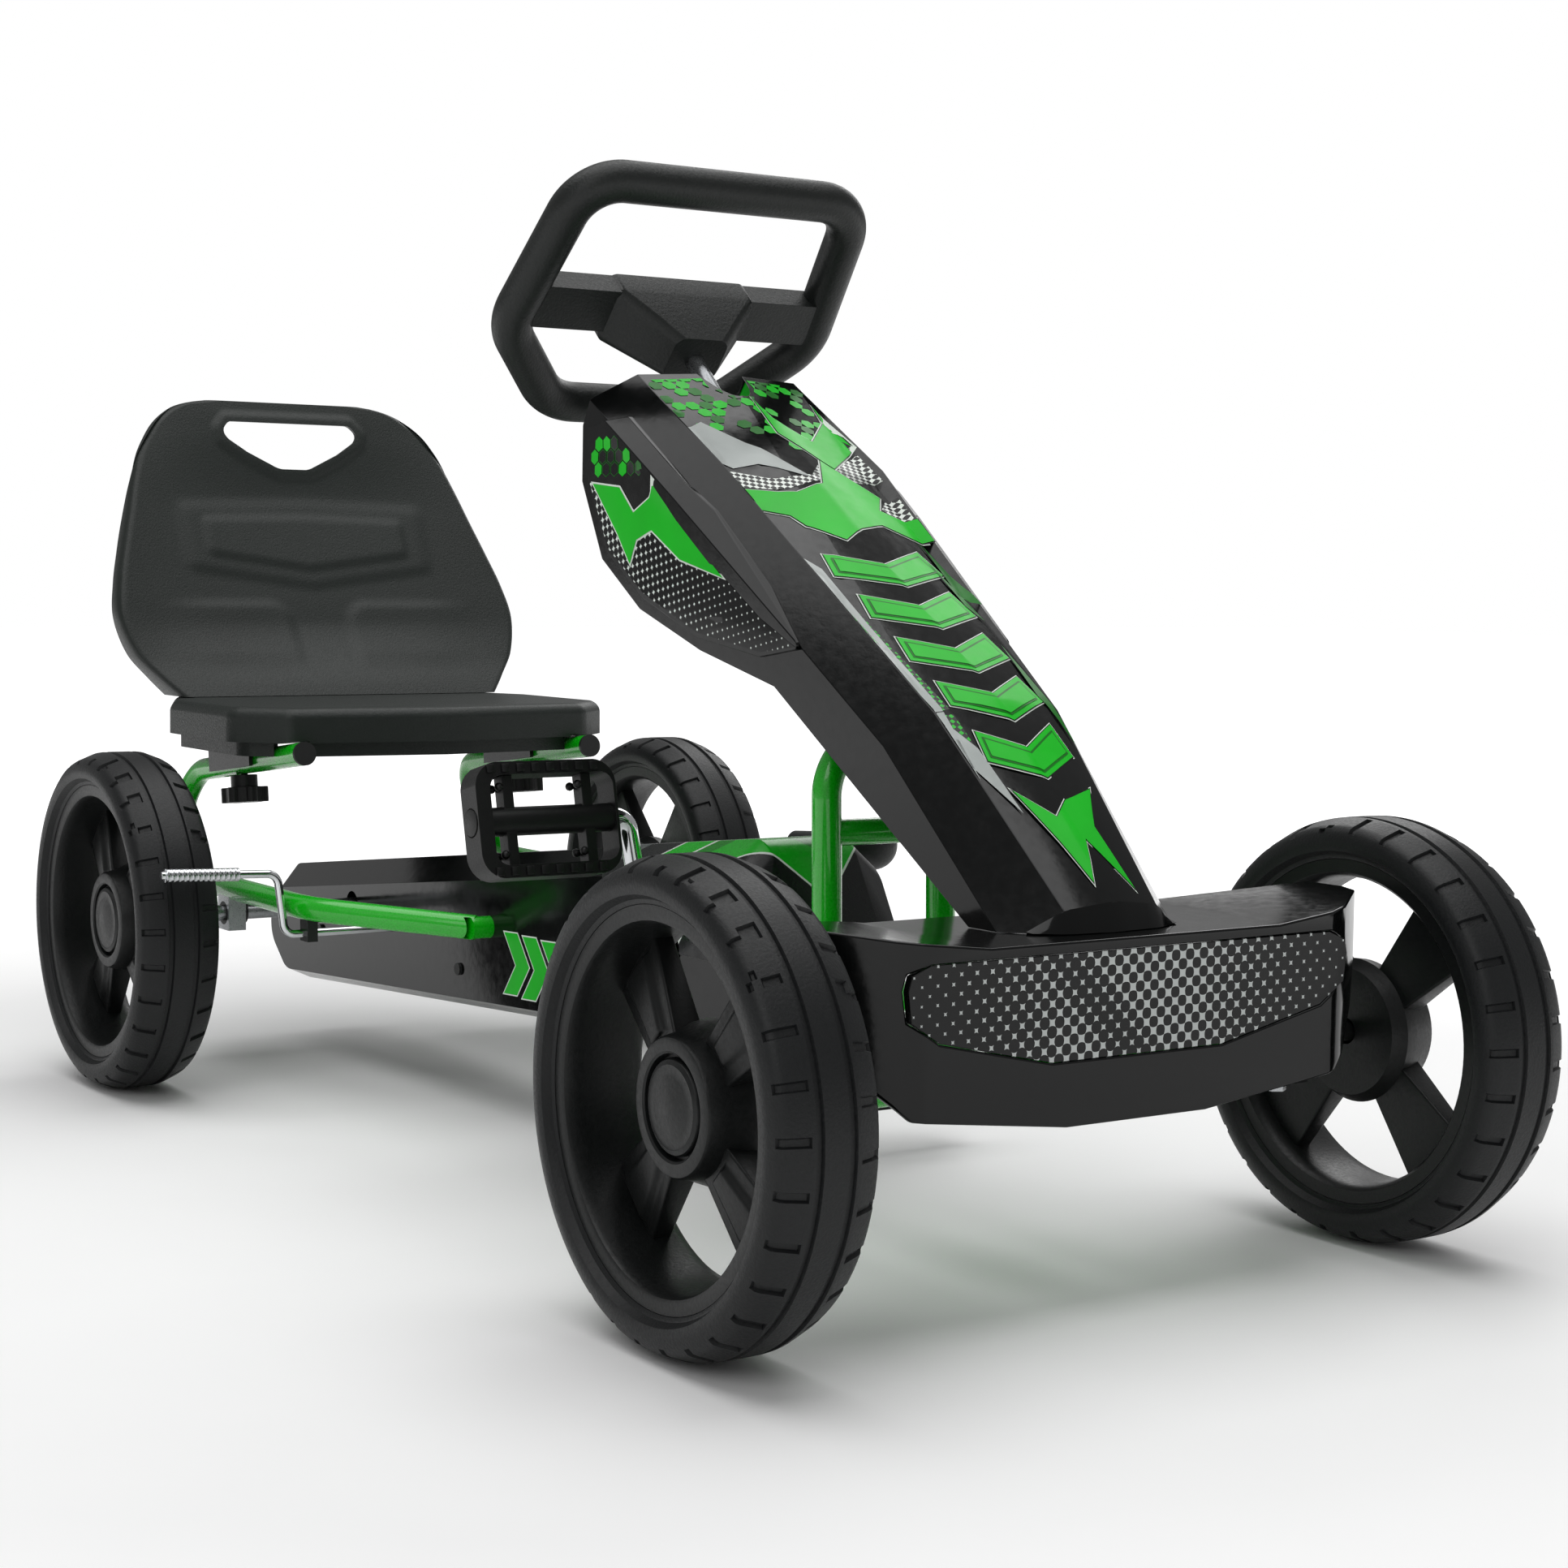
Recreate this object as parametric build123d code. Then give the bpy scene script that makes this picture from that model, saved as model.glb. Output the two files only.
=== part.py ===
from build123d import *
import os
from math import cos, radians, sin, tan

# Pedal go kart.  Millimetres, +X forward, +Y to the driver's left, +Z up, floor at Z = 0.
# Everything is drawn from the rear axle line (X = 0) and moved at the end, so that the
# origin of the finished kart is on the floor, in the middle of its length.

# ---- wheels and axles
tyre_r = 127.0
tyre_half_width = 31.0
tread_half_width = 12.5
rim_r = 102.7
rim_half_width = 24.4
rim_wall = 4.0
rim_lip_r = 91.0
hub_r = 35.0
hub_root_r = 43.0
hub_face = 14.5
hub_inner_face = -22.0
cap_r = 25.0
spoke_width = 38.0
spoke_count = 4
wheelbase = 830.0
track = 475.0
axle_r = 6.0
axle_overhang = 6.0
running_gap = 0.05
body_gap = 0.3

# ---- steering geometry
kingpin_y = 160.0
kingpin_r = 4.0
kingpin_sleeve_r = 9.0
kingpin_sleeve_length = 41.0
steering_arm = 32.0
column_tilt = 42.8
column_r = 6.0
column_x = wheelbase - 174.0
column_z = 327.0
wheel_hub_x = wheelbase - 430.0

# ---- steering wheel, in its own plane
rim_tube_r = 13.5
rim_top = 75.5
rim_bottom = -103.5
rim_top_half = 64.0
rim_side_half = 117.0
rim_low_half = 103.0
rim_shoulder = 14.0

# ---- frame tubes
tube_r = 9.0
tube_wall = 1.5
main_tube_r = 14.0
beam_r = 12.5
hoop_half = 42.0
hoop_bend = 38.0
crossbar_z = 241.0
rail_y = 123.0
rail_front_x = 74.0
rail_front_z = 254.0
rail_slope = 7.1
rail_back_x = -158.0
stay_y = 151.0
stay_z = 146.0
stay_end_x = 238.0
stay_end_z = 137.0

# ---- drive
crank_x = wheelbase - 340.0
crank_z = 152.0
crank_rise = 88.0
crank_lean = 10.0
pedal_inner_y = 99.0
pedal_outer_y = 197.0
pedal_height = 72.0
pedal_thickness = 21.0
pedal_tilt = 13.0
chain_y = 20.0
chainring_r = 48.6
rear_sprocket_r = 24.5
chain_depth = 6.0
chain_width = 7.0

# ---- guard, shroud and bumper shells
guard_half = 50.0
guard_top_half = 30.0
guard_wall = 2.5
shell_wall = 3.0
bumper_top_z = 205.0

# ---- brake
brake_x = 132.0
brake_z = 126.0
brake_rod_r = 3.0
brake_rise = 47.0

# ---- seat
seat_half = 163.0
seat_top_z = 288.0
seat_rim_z = 261.0
seat_tray_z = 250.0
knob_x = -45.0
seat_travel = 60.0
seat_back_reach = 262.0

column_up = Vector(-cos(radians(column_tilt)), 0, sin(radians(column_tilt)))
column_across = Vector(sin(radians(column_tilt)), 0, cos(radians(column_tilt)))


def column_height(x):
    """Height of the steering column's axis at a given X."""
    return column_z - (x - column_x) * tan(radians(column_tilt))


wheel_hub = Vector(wheel_hub_x, 0, column_height(wheel_hub_x))
wheel_plane = Plane(origin=wheel_hub, x_dir=(0, 1, 0), z_dir=column_up)


def rod(start, end, radius):
    """Round bar between two points."""
    start, end = Vector(*start), Vector(*end)
    bar = Cylinder(radius, (end - start).length, align=(Align.CENTER, Align.CENTER, Align.MIN))
    return Plane(origin=start, z_dir=end - start) * bar


def bent_bar(points, bends, radius, wall=0.0):
    """Round bar or tube along straight runs joined by arcs."""
    path = FilletPolyline(*points, radius=bends)
    start = Plane(origin=path @ 0, z_dir=path % 0)
    bar = sweep(start * Circle(radius), path=path)
    if wall:
        bar -= sweep(start * Circle(radius - wall), path=path)
    return bar


def block(x, y, z):
    """Box given by its low and high values along each axis."""
    size = [high - low for low, high in (x, y, z)]
    middle = [(high + low) / 2 for low, high in (x, y, z)]
    return Pos(*middle) * Box(*size)


def mirrored(shape):
    """The same piece on the other side of the kart."""
    return mirror(shape, about=Plane.XZ)


def side_profile(points, low_y, high_y, bend=0.0):
    """Outline in the X-Z plane, extruded from low_y to high_y."""
    face = make_face(Polyline(*[(x, z) for x, z in points], close=True))
    if bend:
        face = fillet(face.vertices(), bend)
    return Pos(0, high_y, 0) * extrude(Plane.XZ * face, amount=high_y - low_y)


# ------------------------------------------------------------------ frame
def rail_height(x):
    """Height of a seat rail's centreline."""
    return rail_front_z - (rail_front_x - x) * tan(radians(rail_slope))


bottom_bracket = Vector(crank_x, 0, crank_z)
shell_r = 19.0
shell_low, shell_high = -26.0, 12.0
crank_bush_r = 10.0
stay_bend_x = 150.0
cross_tube_r = 8.0


def bottom_bracket_shell():
    tube = rod((crank_x, shell_low, crank_z), (crank_x, shell_high, crank_z), shell_r)
    return tube - rod((crank_x, shell_low, crank_z), (crank_x, shell_high, crank_z), crank_bush_r)


def main_tube(start, end):
    """One run of the spine, cut to fit the cross members it is welded to."""
    tube = rod(start, end, main_tube_r) - rod(start, end, main_tube_r - tube_wall)
    tube -= rod((crank_x, -guard_half, crank_z), (crank_x, guard_half, crank_z), shell_r)
    tube -= rod((stay_end_x, -guard_half, stay_end_z), (stay_end_x, guard_half, stay_end_z), cross_tube_r)
    return tube - rod((wheelbase, -track / 2, tyre_r), (wheelbase, track / 2, tyre_r), beam_r)


def rear_main_tube():
    return main_tube((stay_end_x - 20, 0, stay_end_z + 1), (crank_x, 0, crank_z))


def front_main_tube():
    return main_tube((crank_x, 0, crank_z), (wheelbase, 0, tyre_r))


def kingpin_cut(side):
    y = side * kingpin_y
    return rod((wheelbase, y, tyre_r - 40), (wheelbase, y, tyre_r + 40), kingpin_sleeve_r)


def front_axle_beam():
    ends = (wheelbase, -kingpin_y, tyre_r), (wheelbase, kingpin_y, tyre_r)
    beam = rod(*ends, beam_r) - rod(*ends, beam_r - 2 * tube_wall)
    return beam - kingpin_cut(-1) - kingpin_cut(1)


sleeve_low = tyre_r + 20.0 - kingpin_sleeve_length
sleeve_high = tyre_r + 20.0


def kingpin_sleeves():
    sleeves = []
    for side in (-1, 1):
        y = side * kingpin_y
        ends = (wheelbase, y, sleeve_low), (wheelbase, y, sleeve_high)
        sleeves.append(rod(*ends, kingpin_sleeve_r) - rod(*ends, kingpin_r + running_gap))
    return sleeves


sleeve_outer_r = 11.0
sleeve_bore_r = 8.5
sleeve_half_length = 18.0
hoop_top_z = column_z - (tube_r + sleeve_outer_r) / cos(radians(column_tilt))


def steering_hoop():
    foot_z = column_z - 181.0
    right = [(wheelbase, -hoop_half, tyre_r), (column_x + 4, -hoop_half, foot_z)]
    right.append((column_x, -hoop_half, hoop_top_z))
    left = [(x, -y, z) for x, y, z in reversed(right)]
    hoop = bent_bar(right + left, [40.0, hoop_bend, hoop_bend, 40.0], tube_r, tube_wall)
    return hoop - rod((wheelbase, -track / 2, tyre_r), (wheelbase, track / 2, tyre_r), beam_r)


def hoop_leg_x(z):
    """X of the hoop's upright leg at a height."""
    return column_x + 4 * (hoop_top_z - z) / (hoop_top_z - (column_z - 181.0))


def hoop_crossbar():
    x = hoop_leg_x(crossbar_z)
    bar = rod((x, -hoop_half, crossbar_z), (x, hoop_half, crossbar_z), tube_r - 1)
    for side in (-1, 1):
        leg_low = (hoop_leg_x(crossbar_z - 30), side * hoop_half, crossbar_z - 30)
        leg_high = (hoop_leg_x(crossbar_z + 15), side * hoop_half, crossbar_z + 15)
        bar -= rod(leg_low, leg_high, tube_r)
    return bar


column_centre = Vector(column_x, 0, column_z)


def column_sleeve():
    ends = column_centre - column_up * sleeve_half_length, column_centre + column_up * sleeve_half_length
    return rod(*ends, sleeve_outer_r) - rod(*ends, sleeve_bore_r)


def column_bushes():
    bushes = []
    for side in (-1, 1):
        mouth = column_centre + column_up * side * sleeve_half_length
        inner = mouth - column_up * side * 12
        flange = mouth + column_up * side * 2
        bush = rod(inner, mouth, sleeve_bore_r) + rod(mouth, flange, sleeve_outer_r)
        bushes.append(bush - rod(inner, flange, column_r + running_gap))
    return bushes


foot_bearing_x = (wheelbase - 4.0, wheelbase + 32.0)
foot_bearing_top = 159.0
column_foot_x = wheelbase + 20.0


def column_foot_bearing():
    body = block(foot_bearing_x, (-13, 13), (tyre_r + 4, foot_bearing_top))
    body -= rod((wheelbase, -30, tyre_r), (wheelbase, 30, tyre_r), beam_r)
    body -= rod((crank_x, 0, crank_z), (wheelbase, 0, tyre_r), main_tube_r)
    axis_low = column_centre - column_up * 320
    return body - rod(axis_low, column_centre, column_r + running_gap)


def seat_hoop():
    """Right-hand rail and stay, bent from one tube, with the slot for the clamp stud."""
    rail_front = (rail_front_x, -rail_y, rail_front_z)
    rail_back = (rail_back_x, -rail_y, rail_height(rail_back_x))
    heel = (-130, -stay_y, stay_z)
    turn = (stay_bend_x, -stay_y, stay_z)
    end = (stay_end_x, -guard_half - 11, stay_end_z)
    hoop = bent_bar([rail_front, rail_back, heel, turn, end], [28.0, 30.0, 60.0], tube_r, tube_wall)
    slot_half = seat_travel / 2 + stud_r + 1
    slot_mid = Pos(knob_x, -rail_y, rail_height(knob_x)) * Rot(0, -rail_slope, 0)
    hoop -= slot_mid * Box(2 * slot_half, 2 * stud_r + 1, 4 * tube_r)
    cross_ends = (stay_end_x, -guard_half - 20, stay_end_z), (stay_end_x, 0, stay_end_z)
    return hoop - rod(*cross_ends, cross_tube_r)


def rail_cap():
    """Plastic plug in the front end of the right-hand rail."""
    along = Vector(cos(radians(rail_slope)), 0, sin(radians(rail_slope)))
    mouth = Vector(rail_front_x, -rail_y, rail_front_z)
    plug = rod(mouth - along * 12, mouth, tube_r - tube_wall)
    return plug + rod(mouth, mouth + along * 3, tube_r)


def stay_cross_tube():
    y = guard_half + 16
    return rod((stay_end_x, -y, stay_end_z), (stay_end_x, y, stay_end_z), cross_tube_r)


bracket_y = stay_y
bush_r = 9.0


def axle_bracket():
    """Steel block under the right-hand stay that carries the rear axle's bush."""
    body = block((-11, 11), (-bracket_y - 7, -bracket_y + 7), (tyre_r - 13, stay_z - 3))
    body -= rod((-20, -stay_y, stay_z), (20, -stay_y, stay_z), tube_r)
    return body - rod((0, -track, tyre_r), (0, 0, tyre_r), bush_r)


def axle_bush():
    inner, outer = -bracket_y + 7, -bracket_y - 7
    bush = rod((0, outer, tyre_r), (0, inner, tyre_r), bush_r)
    bush += rod((0, inner, tyre_r), (0, inner + 3, tyre_r), bush_r)
    return bush - rod((0, outer, tyre_r), (0, inner + 3, tyre_r), axle_r + running_gap)


# ------------------------------------------------------------------ wheels
def at_wheel(shape, x, side):
    """Turns a wheel drawn about Z (outboard up) onto its axle end."""
    turn = -90 if side > 0 else 90
    return Pos(x, side * track / 2, tyre_r) * Rot(turn, 0, 0) * shape


def tyre():
    shoulder_r = tyre_r - 6
    half = [(rim_r, rim_half_width), (rim_r + 4, tyre_half_width), (rim_r + 11, tyre_half_width - 1)]
    half += [(shoulder_r, 24.0), (tyre_r, tread_half_width)]
    groove = [(tyre_r, 10.0), (tyre_r - 2, 9.5), (tyre_r - 2, 7.5), (tyre_r, 7.0)]
    right = half + groove
    outline = right + [(r, -z) for r, z in reversed(right)]
    section = Plane.XZ * make_face(Polyline(*outline, close=True))
    return revolve(section, axis=Axis.Z)


def rim():
    barrel = Cylinder(rim_r, 2 * rim_half_width) - Cylinder(rim_r - rim_wall, 2 * rim_half_width)
    lips = []
    for side in (-1, 1):
        lip = Pos(0, 0, side * (rim_half_width - 1.75)) * (Cylinder(rim_r, 3.5) - Cylinder(rim_lip_r, 3.5))
        lips.append(lip)
    boss_height = hub_face - hub_inner_face
    boss = Pos(0, 0, hub_inner_face) * Cone(
        hub_root_r, hub_r, boss_height, align=(Align.CENTER, Align.CENTER, Align.MIN))
    wheel = barrel + lips + boss
    length = rim_r - rim_wall / 2
    for index in range(spoke_count):
        turn = Rot(0, 0, 45 + index * 360 / spoke_count)
        wheel += turn * block((hub_r - 8, length), (-spoke_width / 2, spoke_width / 2), (-16, -8))
        wheel += turn * block((hub_r - 8, length), (-6, 6), (-8, -1))
    recess = Pos(0, 0, hub_face - 3.5) * Cylinder(cap_r + 0.5, 7.01)
    return wheel - recess - Cylinder(axle_r + running_gap, 80)


def hub_cap():
    skirt = Pos(0, 0, hub_face - 4.5) * Cylinder(cap_r, 5)
    dome_r = 62.0
    dome_base = hub_face - 2
    dome = Pos(0, 0, dome_base + 5 - dome_r) * Sphere(dome_r)
    dome &= Pos(0, 0, dome_base) * Cylinder(cap_r, 6, align=(Align.CENTER, Align.CENTER, Align.MIN))
    return skirt + dome


def rear_axle():
    y = track / 2 + axle_overhang
    return rod((0, -y, tyre_r), (0, y, tyre_r), axle_r)


def tooth_ring(x, z, radius, bore):
    """Sprocket plate with its teeth, in the chain's plane."""
    low, high = chain_y - 1.2, chain_y + 1.2
    plate = rod((x, low, z), (x, high, z), radius - 3)
    count = round(2 * 3.1416 * radius / 12.7)
    for index in range(count):
        turn = Pos(x, chain_y, z) * Rot(0, index * 360 / count, 0)
        plate += turn * block((radius - 5, radius - 0.6), (-1.2, 1.2), (-2, 2))
    return plate - rod((x, low - 1, z), (x, high + 1, z), bore)


def rear_sprocket():
    plate = tooth_ring(0, tyre_r, rear_sprocket_r, axle_r)
    hub_ends = (0, chain_y - 9, tyre_r), (0, chain_y - 1.2, tyre_r)
    return plate + rod(*hub_ends, 12) - rod(*hub_ends, axle_r)


# ------------------------------------------------------------------ drive
arm_root_y = 66.0
arm_tip_y = 88.0


def crank():
    tip_x, tip_z = crank_x + crank_lean, crank_z + crank_rise
    low_x, low_z = crank_x - crank_lean, crank_z - crank_rise
    points = [(tip_x, -pedal_outer_y, tip_z), (tip_x, -arm_tip_y, tip_z), (crank_x, -arm_root_y, crank_z)]
    points += [(crank_x, arm_root_y, crank_z), (low_x, arm_tip_y, low_z), (low_x, pedal_outer_y, low_z)]
    return bent_bar(points, [12.0, 16.0, 16.0, 12.0], axle_r)


def chainring():
    return tooth_ring(crank_x, crank_z, chainring_r, axle_r)


def crank_bushes():
    bushes = []
    for mouth, inward in ((shell_low, 1), (shell_high, -1)):
        bush = rod((crank_x, mouth, crank_z), (crank_x, mouth + inward * 12, crank_z), crank_bush_r)
        bush += rod((crank_x, mouth, crank_z), (crank_x, mouth - inward * 2, crank_z), shell_r - 3)
        far = rod((crank_x, mouth - 20, crank_z), (crank_x, mouth + 20, crank_z), axle_r + running_gap)
        bushes.append(bush - far)
    return bushes


def chain_outline(extra):
    """Belt-shaped outline round the two sprockets, grown outwards by extra."""
    small = Pos(0, tyre_r) * Circle(rear_sprocket_r + extra)
    large = Pos(crank_x, crank_z) * Circle(chainring_r + extra)
    return make_hull((small + large).edges())


def chain():
    band = chain_outline(chain_depth) - chain_outline(0)
    return Pos(0, chain_y + chain_width / 2, 0) * extrude(Plane.XZ * band, amount=chain_width)


def pedal_place(side):
    """Plane of a pedal: x along the spindle outwards, y up the platform, z through it."""
    lift = -side
    centre = Vector(crank_x + lift * crank_lean, side * (pedal_inner_y + pedal_outer_y) / 2,
                    crank_z + lift * crank_rise)
    through = Vector(cos(radians(pedal_tilt)), 0, sin(radians(pedal_tilt)))
    return Plane(origin=centre, x_dir=(0, side, 0), z_dir=through)


spindle_hole_r = axle_r + running_gap
barrel_r = 9.0
pedal_half = (pedal_outer_y - pedal_inner_y) / 2


def pedal_cage(side):
    """Serrated loop of the pedal, closed at its outer end."""
    outer = Rectangle(2 * pedal_half, pedal_height)
    outer = fillet(outer.vertices(), 16)
    inner = Pos(-4, 0) * Rectangle(2 * pedal_half - 12, pedal_height - 16)
    inner = fillet(inner.vertices(), 9)
    ring = extrude(outer - inner, amount=pedal_thickness / 2, both=True)
    ring -= Rot(0, 90, 0) * Cylinder(barrel_r, 4 * pedal_half)
    return pedal_place(side) * ring


def pedal_barrel(side):
    """Barrel on the spindle with the two webs that carry the cage."""
    length = 2 * pedal_half - 2
    barrel = Rot(0, 90, 0) * Cylinder(barrel_r, length)
    for place in (-0.62, 0.5):
        web = Pos(place * pedal_half, 0, 0) * Box(7, pedal_height - 16, 11)
        barrel += web
    barrel -= Rot(0, 90, 0) * Cylinder(spindle_hole_r, 3 * length)
    return pedal_place(side) * barrel


# ------------------------------------------------------------------ guard
guard_rear = -160.0
guard_front = wheelbase - 208.0


def guard_face(inset, shrink):
    """Guard outline in side view; inset lowers its top and lifts its foot, shrink thins it all round."""
    top = inset * 0.9
    foot = inset * 0.45
    points = [(guard_rear + inset * 0.6, 144 - top), (guard_rear - 30 + inset * 0.8, 92)]
    points += [(guard_rear + 26, 50 + foot), (guard_front - 60, 92 + foot)]
    points += [(guard_front - inset * 0.6, 152), (guard_front - 46, 229 - top)]
    face = make_face(Polyline(*points, close=True))
    face = fillet(face.vertices(), 24)
    return offset(face, -shrink) if shrink else face


def guard_body(shrink):
    """Closed outer form of the guard, or its inside."""
    shoulder = guard_half - guard_top_half
    wide, flat = guard_half - shrink, guard_top_half - shrink / 2
    middle = Pos(0, flat, 0) * extrude(Plane.XZ * guard_face(0, shrink), amount=2 * flat)
    edge = Plane((0, -flat, 0), x_dir=(1, 0, 0), z_dir=(0, -1, 0)) * guard_face(0, shrink)
    side = Plane((0, -wide, 0), x_dir=(1, 0, 0), z_dir=(0, -1, 0)) * guard_face(shoulder, shrink)
    cheek = loft([edge, side], ruled=True)
    return middle + cheek + mirrored(cheek)


def guard_holes():
    cuts = rod((0, -track / 2, tyre_r), (0, track / 2, tyre_r), axle_r + 5)
    cuts += rod((crank_x, -track / 2, crank_z), (crank_x, track / 2, crank_z), axle_r + 9)
    cuts += rod((stay_end_x, -track / 2, stay_end_z), (stay_end_x, track / 2, stay_end_z), cross_tube_r)
    cuts += rod((brake_x, -track / 2, brake_z), (brake_x, track / 2, brake_z), brake_rod_r + 3)
    return cuts + rod((crank_x, 0, crank_z), (wheelbase, 0, tyre_r), main_tube_r)


screw_spots = ((-60.0, 100.0), (190.0, 100.0), (420.0, 118.0), (385.0, 166.0))


def guard_shell():
    """Right-hand half of the chain guard."""
    shell = guard_body(0) - guard_body(guard_wall) - guard_holes()
    shell &= block((-400, 900), (-guard_half - 1, 0), (0, 400))
    for x, z in screw_spots:
        shell -= rod((x, -guard_half - 5, z), (x, 0, z), 2.0)
    return shell


def guard_screws():
    screws = []
    for side in (-1, 1):
        for x, z in screw_spots:
            face = side * guard_half
            screw = rod((x, face, z), (x, face + side * 2, z), 4.5)
            screws.append(screw + rod((x, face, z), (x, face - side * 10, z), 1.9))
    return screws


def guard_nose_cover():
    """Printed cap over the front of the guard."""
    cap = guard_body(-1.5) - guard_body(0) - guard_holes()
    return cap & block((guard_front - 217, guard_front + 5), (-60, 60), (150, 260))


# ------------------------------------------------------------------ shroud
shroud_line = ((-352.0, 511.0), (-264.0, 460.0), (-145.0, 378.0), (-65.0, 318.0), (38.0, 217.0))
shroud_half = (60.0, 60.0, 52.0, 44.0, 32.0)
shroud_bevel = (84.0, 86.0, 76.0, 68.0, 60.0)
shroud_slope = 37.0


def from_front_axle(points):
    """Side-view points given from the front axle, moved to the kart's own X."""
    return [(wheelbase + x, z) for x, z in points]


def shroud_section(index, inset):
    """Cross-section of the shroud square to its slope, open side down."""
    x, z = wheelbase + shroud_line[index][0], shroud_line[index][1]
    along = Vector(cos(radians(shroud_slope)), 0, -sin(radians(shroud_slope)))
    if index == 0:
        x, z = x - 50, z + 29
    flat, wide = shroud_half[index] - inset * 0.6, shroud_bevel[index] - inset
    outline = [(-flat, -inset), (0, 5 - inset), (flat, -inset), (wide, -24), (wide, -260)]
    outline += [(-wide, -260), (-wide, -24)]
    place = Plane(origin=(x, 0, z), x_dir=(0, 1, 0), z_dir=along)
    return place * make_face(Polyline(*outline, close=True))


def shroud_prism(inset):
    sections = [shroud_section(index, inset) for index in range(len(shroud_line))]
    return loft(sections, ruled=True)


head_points = ((-386, 506), (-364, 524), (-350, 600), (70, 600), (70, 190), (0, 200))
head_points += ((-180, 328), (-255, 347), (-320, 371), (-368, 402), (-396, 452), (-396, 488))
head_inner = ((-383, 505), (-363, 520), (-350, 600), (70, 600), (70, 180), (-20, 180))
head_inner += ((-230, 345.5), (-253, 350), (-318, 374), (-366, 404), (-393, 453), (-393, 487))
seat_of_shroud_z = bumper_top_z + body_gap


def shroud_shell():
    """Fairing over the steering column, open along the underside of its leg."""
    outer = shroud_prism(0) & side_profile(from_front_axle(head_points), -100, 100)
    inner = shroud_prism(shell_wall) & side_profile(from_front_axle(head_inner), -100, 100)
    shell = outer - inner
    shell -= rod(column_centre, wheel_hub, 22)
    shell -= block((wheelbase - 430, wheelbase + 170), (-100, 100), (0, seat_of_shroud_z))
    return shell


def wing_panel():
    """Printed panel let on to the right-hand side of the shroud's head."""
    outline = ((-348, 492), (-310, 470), (-248, 432), (-190, 388), (-150, 351), (-190, 345), (-255, 355))
    outline += ((-313, 378), (-358, 407), (-384, 455), (-384, 486))
    grown = shroud_prism(-2.5) & side_profile(from_front_axle(outline), -120, 0, bend=3.0)
    return grown - shroud_prism(0)


# ------------------------------------------------------------------ bumper
bumper_front_outline = ((100, bumper_top_z), (160, 212), (192, 217), (192, 186), (181, 150), (147, 119), (48, 107))
bumper_front = wheelbase + 63.5
bumper_plan = ((63.5, 140), (57, 156), (32, 188), (15, 193), (-10, 192), (-30, 150), (-52, 112))
panel_outline = ((0, 199), (138, 199), (150, 194), (152, 186), (150, 170), (132, 158), (59, 142), (0, 142))


def symmetric(points):
    """Closed outline from the points of its left half."""
    return list(points) + [(-a, b) for a, b in reversed(points) if a]


def bumper_form(inset):
    """Front outline and plan outline, both extruded and intersected."""
    front = [(y - inset if y > 60 else y, z - inset if z > 200 else z - 60 * bool(inset and z < 130))
             for y, z in bumper_front_outline]
    top = bumper_top_z - inset
    front = symmetric([(0, top)] + front + [(0, front[-1][1])])
    wall = extrude(Plane.YZ * make_face(Polyline(*front, close=True)), amount=1000)
    plan = [(wheelbase + x - (inset if x > -9 else 30 * bool(inset)), y - inset) for x, y in bumper_plan]
    half = [(y, x) for x, y in plan]
    flat = symmetric([(0, plan[0][0])] + half + [(0, plan[-1][0])])
    slab = extrude(make_face(Polyline(*[(b, a) for a, b in flat], close=True)), amount=400)
    return wall & slab


def bumper_shell():
    shell = bumper_form(0) - bumper_form(shell_wall)
    behind = wheelbase - 130
    shell -= block((behind, wheelbase + 25), (105, 260), (0, 172))
    shell -= block((behind, wheelbase + 25), (-260, -105), (0, 172))
    shell -= block((behind, wheelbase - 18), (-105, 105), (0, 172))
    shell -= block((behind, wheelbase + 32), (-27, 27), (0, 300))
    return shell - bumper_window(0, 30)


def bumper_window(gap, depth):
    """Prism of the front panel's outline, shrunk by gap and as deep as asked."""
    face = make_face(Polyline(*symmetric(panel_outline), close=True))
    if gap:
        face = offset(face, -gap)
    return Pos(bumper_front - depth, 0, 0) * extrude(Plane.YZ * face, amount=depth)


def bumper_panel():
    return Pos(-0.5, 0, 0) * bumper_window(body_gap, 5)


def bumper_brackets():
    """Steel tabs from the axle beam to the back of the bumper."""
    tabs = []
    for y in (-80.0, 80.0):
        tab = block((wheelbase + 8, bumper_front - shell_wall - body_gap), (y - 9, y + 9), (120, 130))
        tabs.append(tab - rod((wheelbase, -kingpin_y, tyre_r), (wheelbase, kingpin_y, tyre_r), beam_r))
    return tabs


# ------------------------------------------------------------------ steering
steering_plate_z = 168.0
tie_bar_z = (151.8, 155.8)
tie_bar_x = wheelbase - steering_arm
tie_pin_r = 4.0


def steering_column():
    """Round bar from the hub to its foot, with the drop arm and its pin."""
    top = wheel_hub - column_up * 2
    foot = Vector(column_foot_x, 0, column_height(column_foot_x))
    bar = rod(foot, top, column_r)
    cross_x = column_x + (column_z - steering_plate_z) / tan(radians(column_tilt))
    arm = block((tie_bar_x - 9, cross_x + 5), (-9, 9), (steering_plate_z - 2, steering_plate_z + 2))
    pin = rod((tie_bar_x, 0, tie_bar_z[0] - 3), (tie_bar_x, 0, steering_plate_z - 2), tie_pin_r)
    return bar + arm + pin


def steering_rim():
    half = [(0, rim_bottom), (rim_low_half, rim_bottom), (rim_side_half, rim_shoulder)]
    half += [(rim_top_half, rim_top), (0, rim_top)]
    right = FilletPolyline(*[(x, y) for x, y in half], radius=[32.0, 38.0, 42.0])
    path = wheel_plane * right
    start = Plane(origin=path @ 0, z_dir=path % 0)
    ring = sweep(start * Circle(rim_tube_r), path=path)
    return ring + mirrored(ring)


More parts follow.
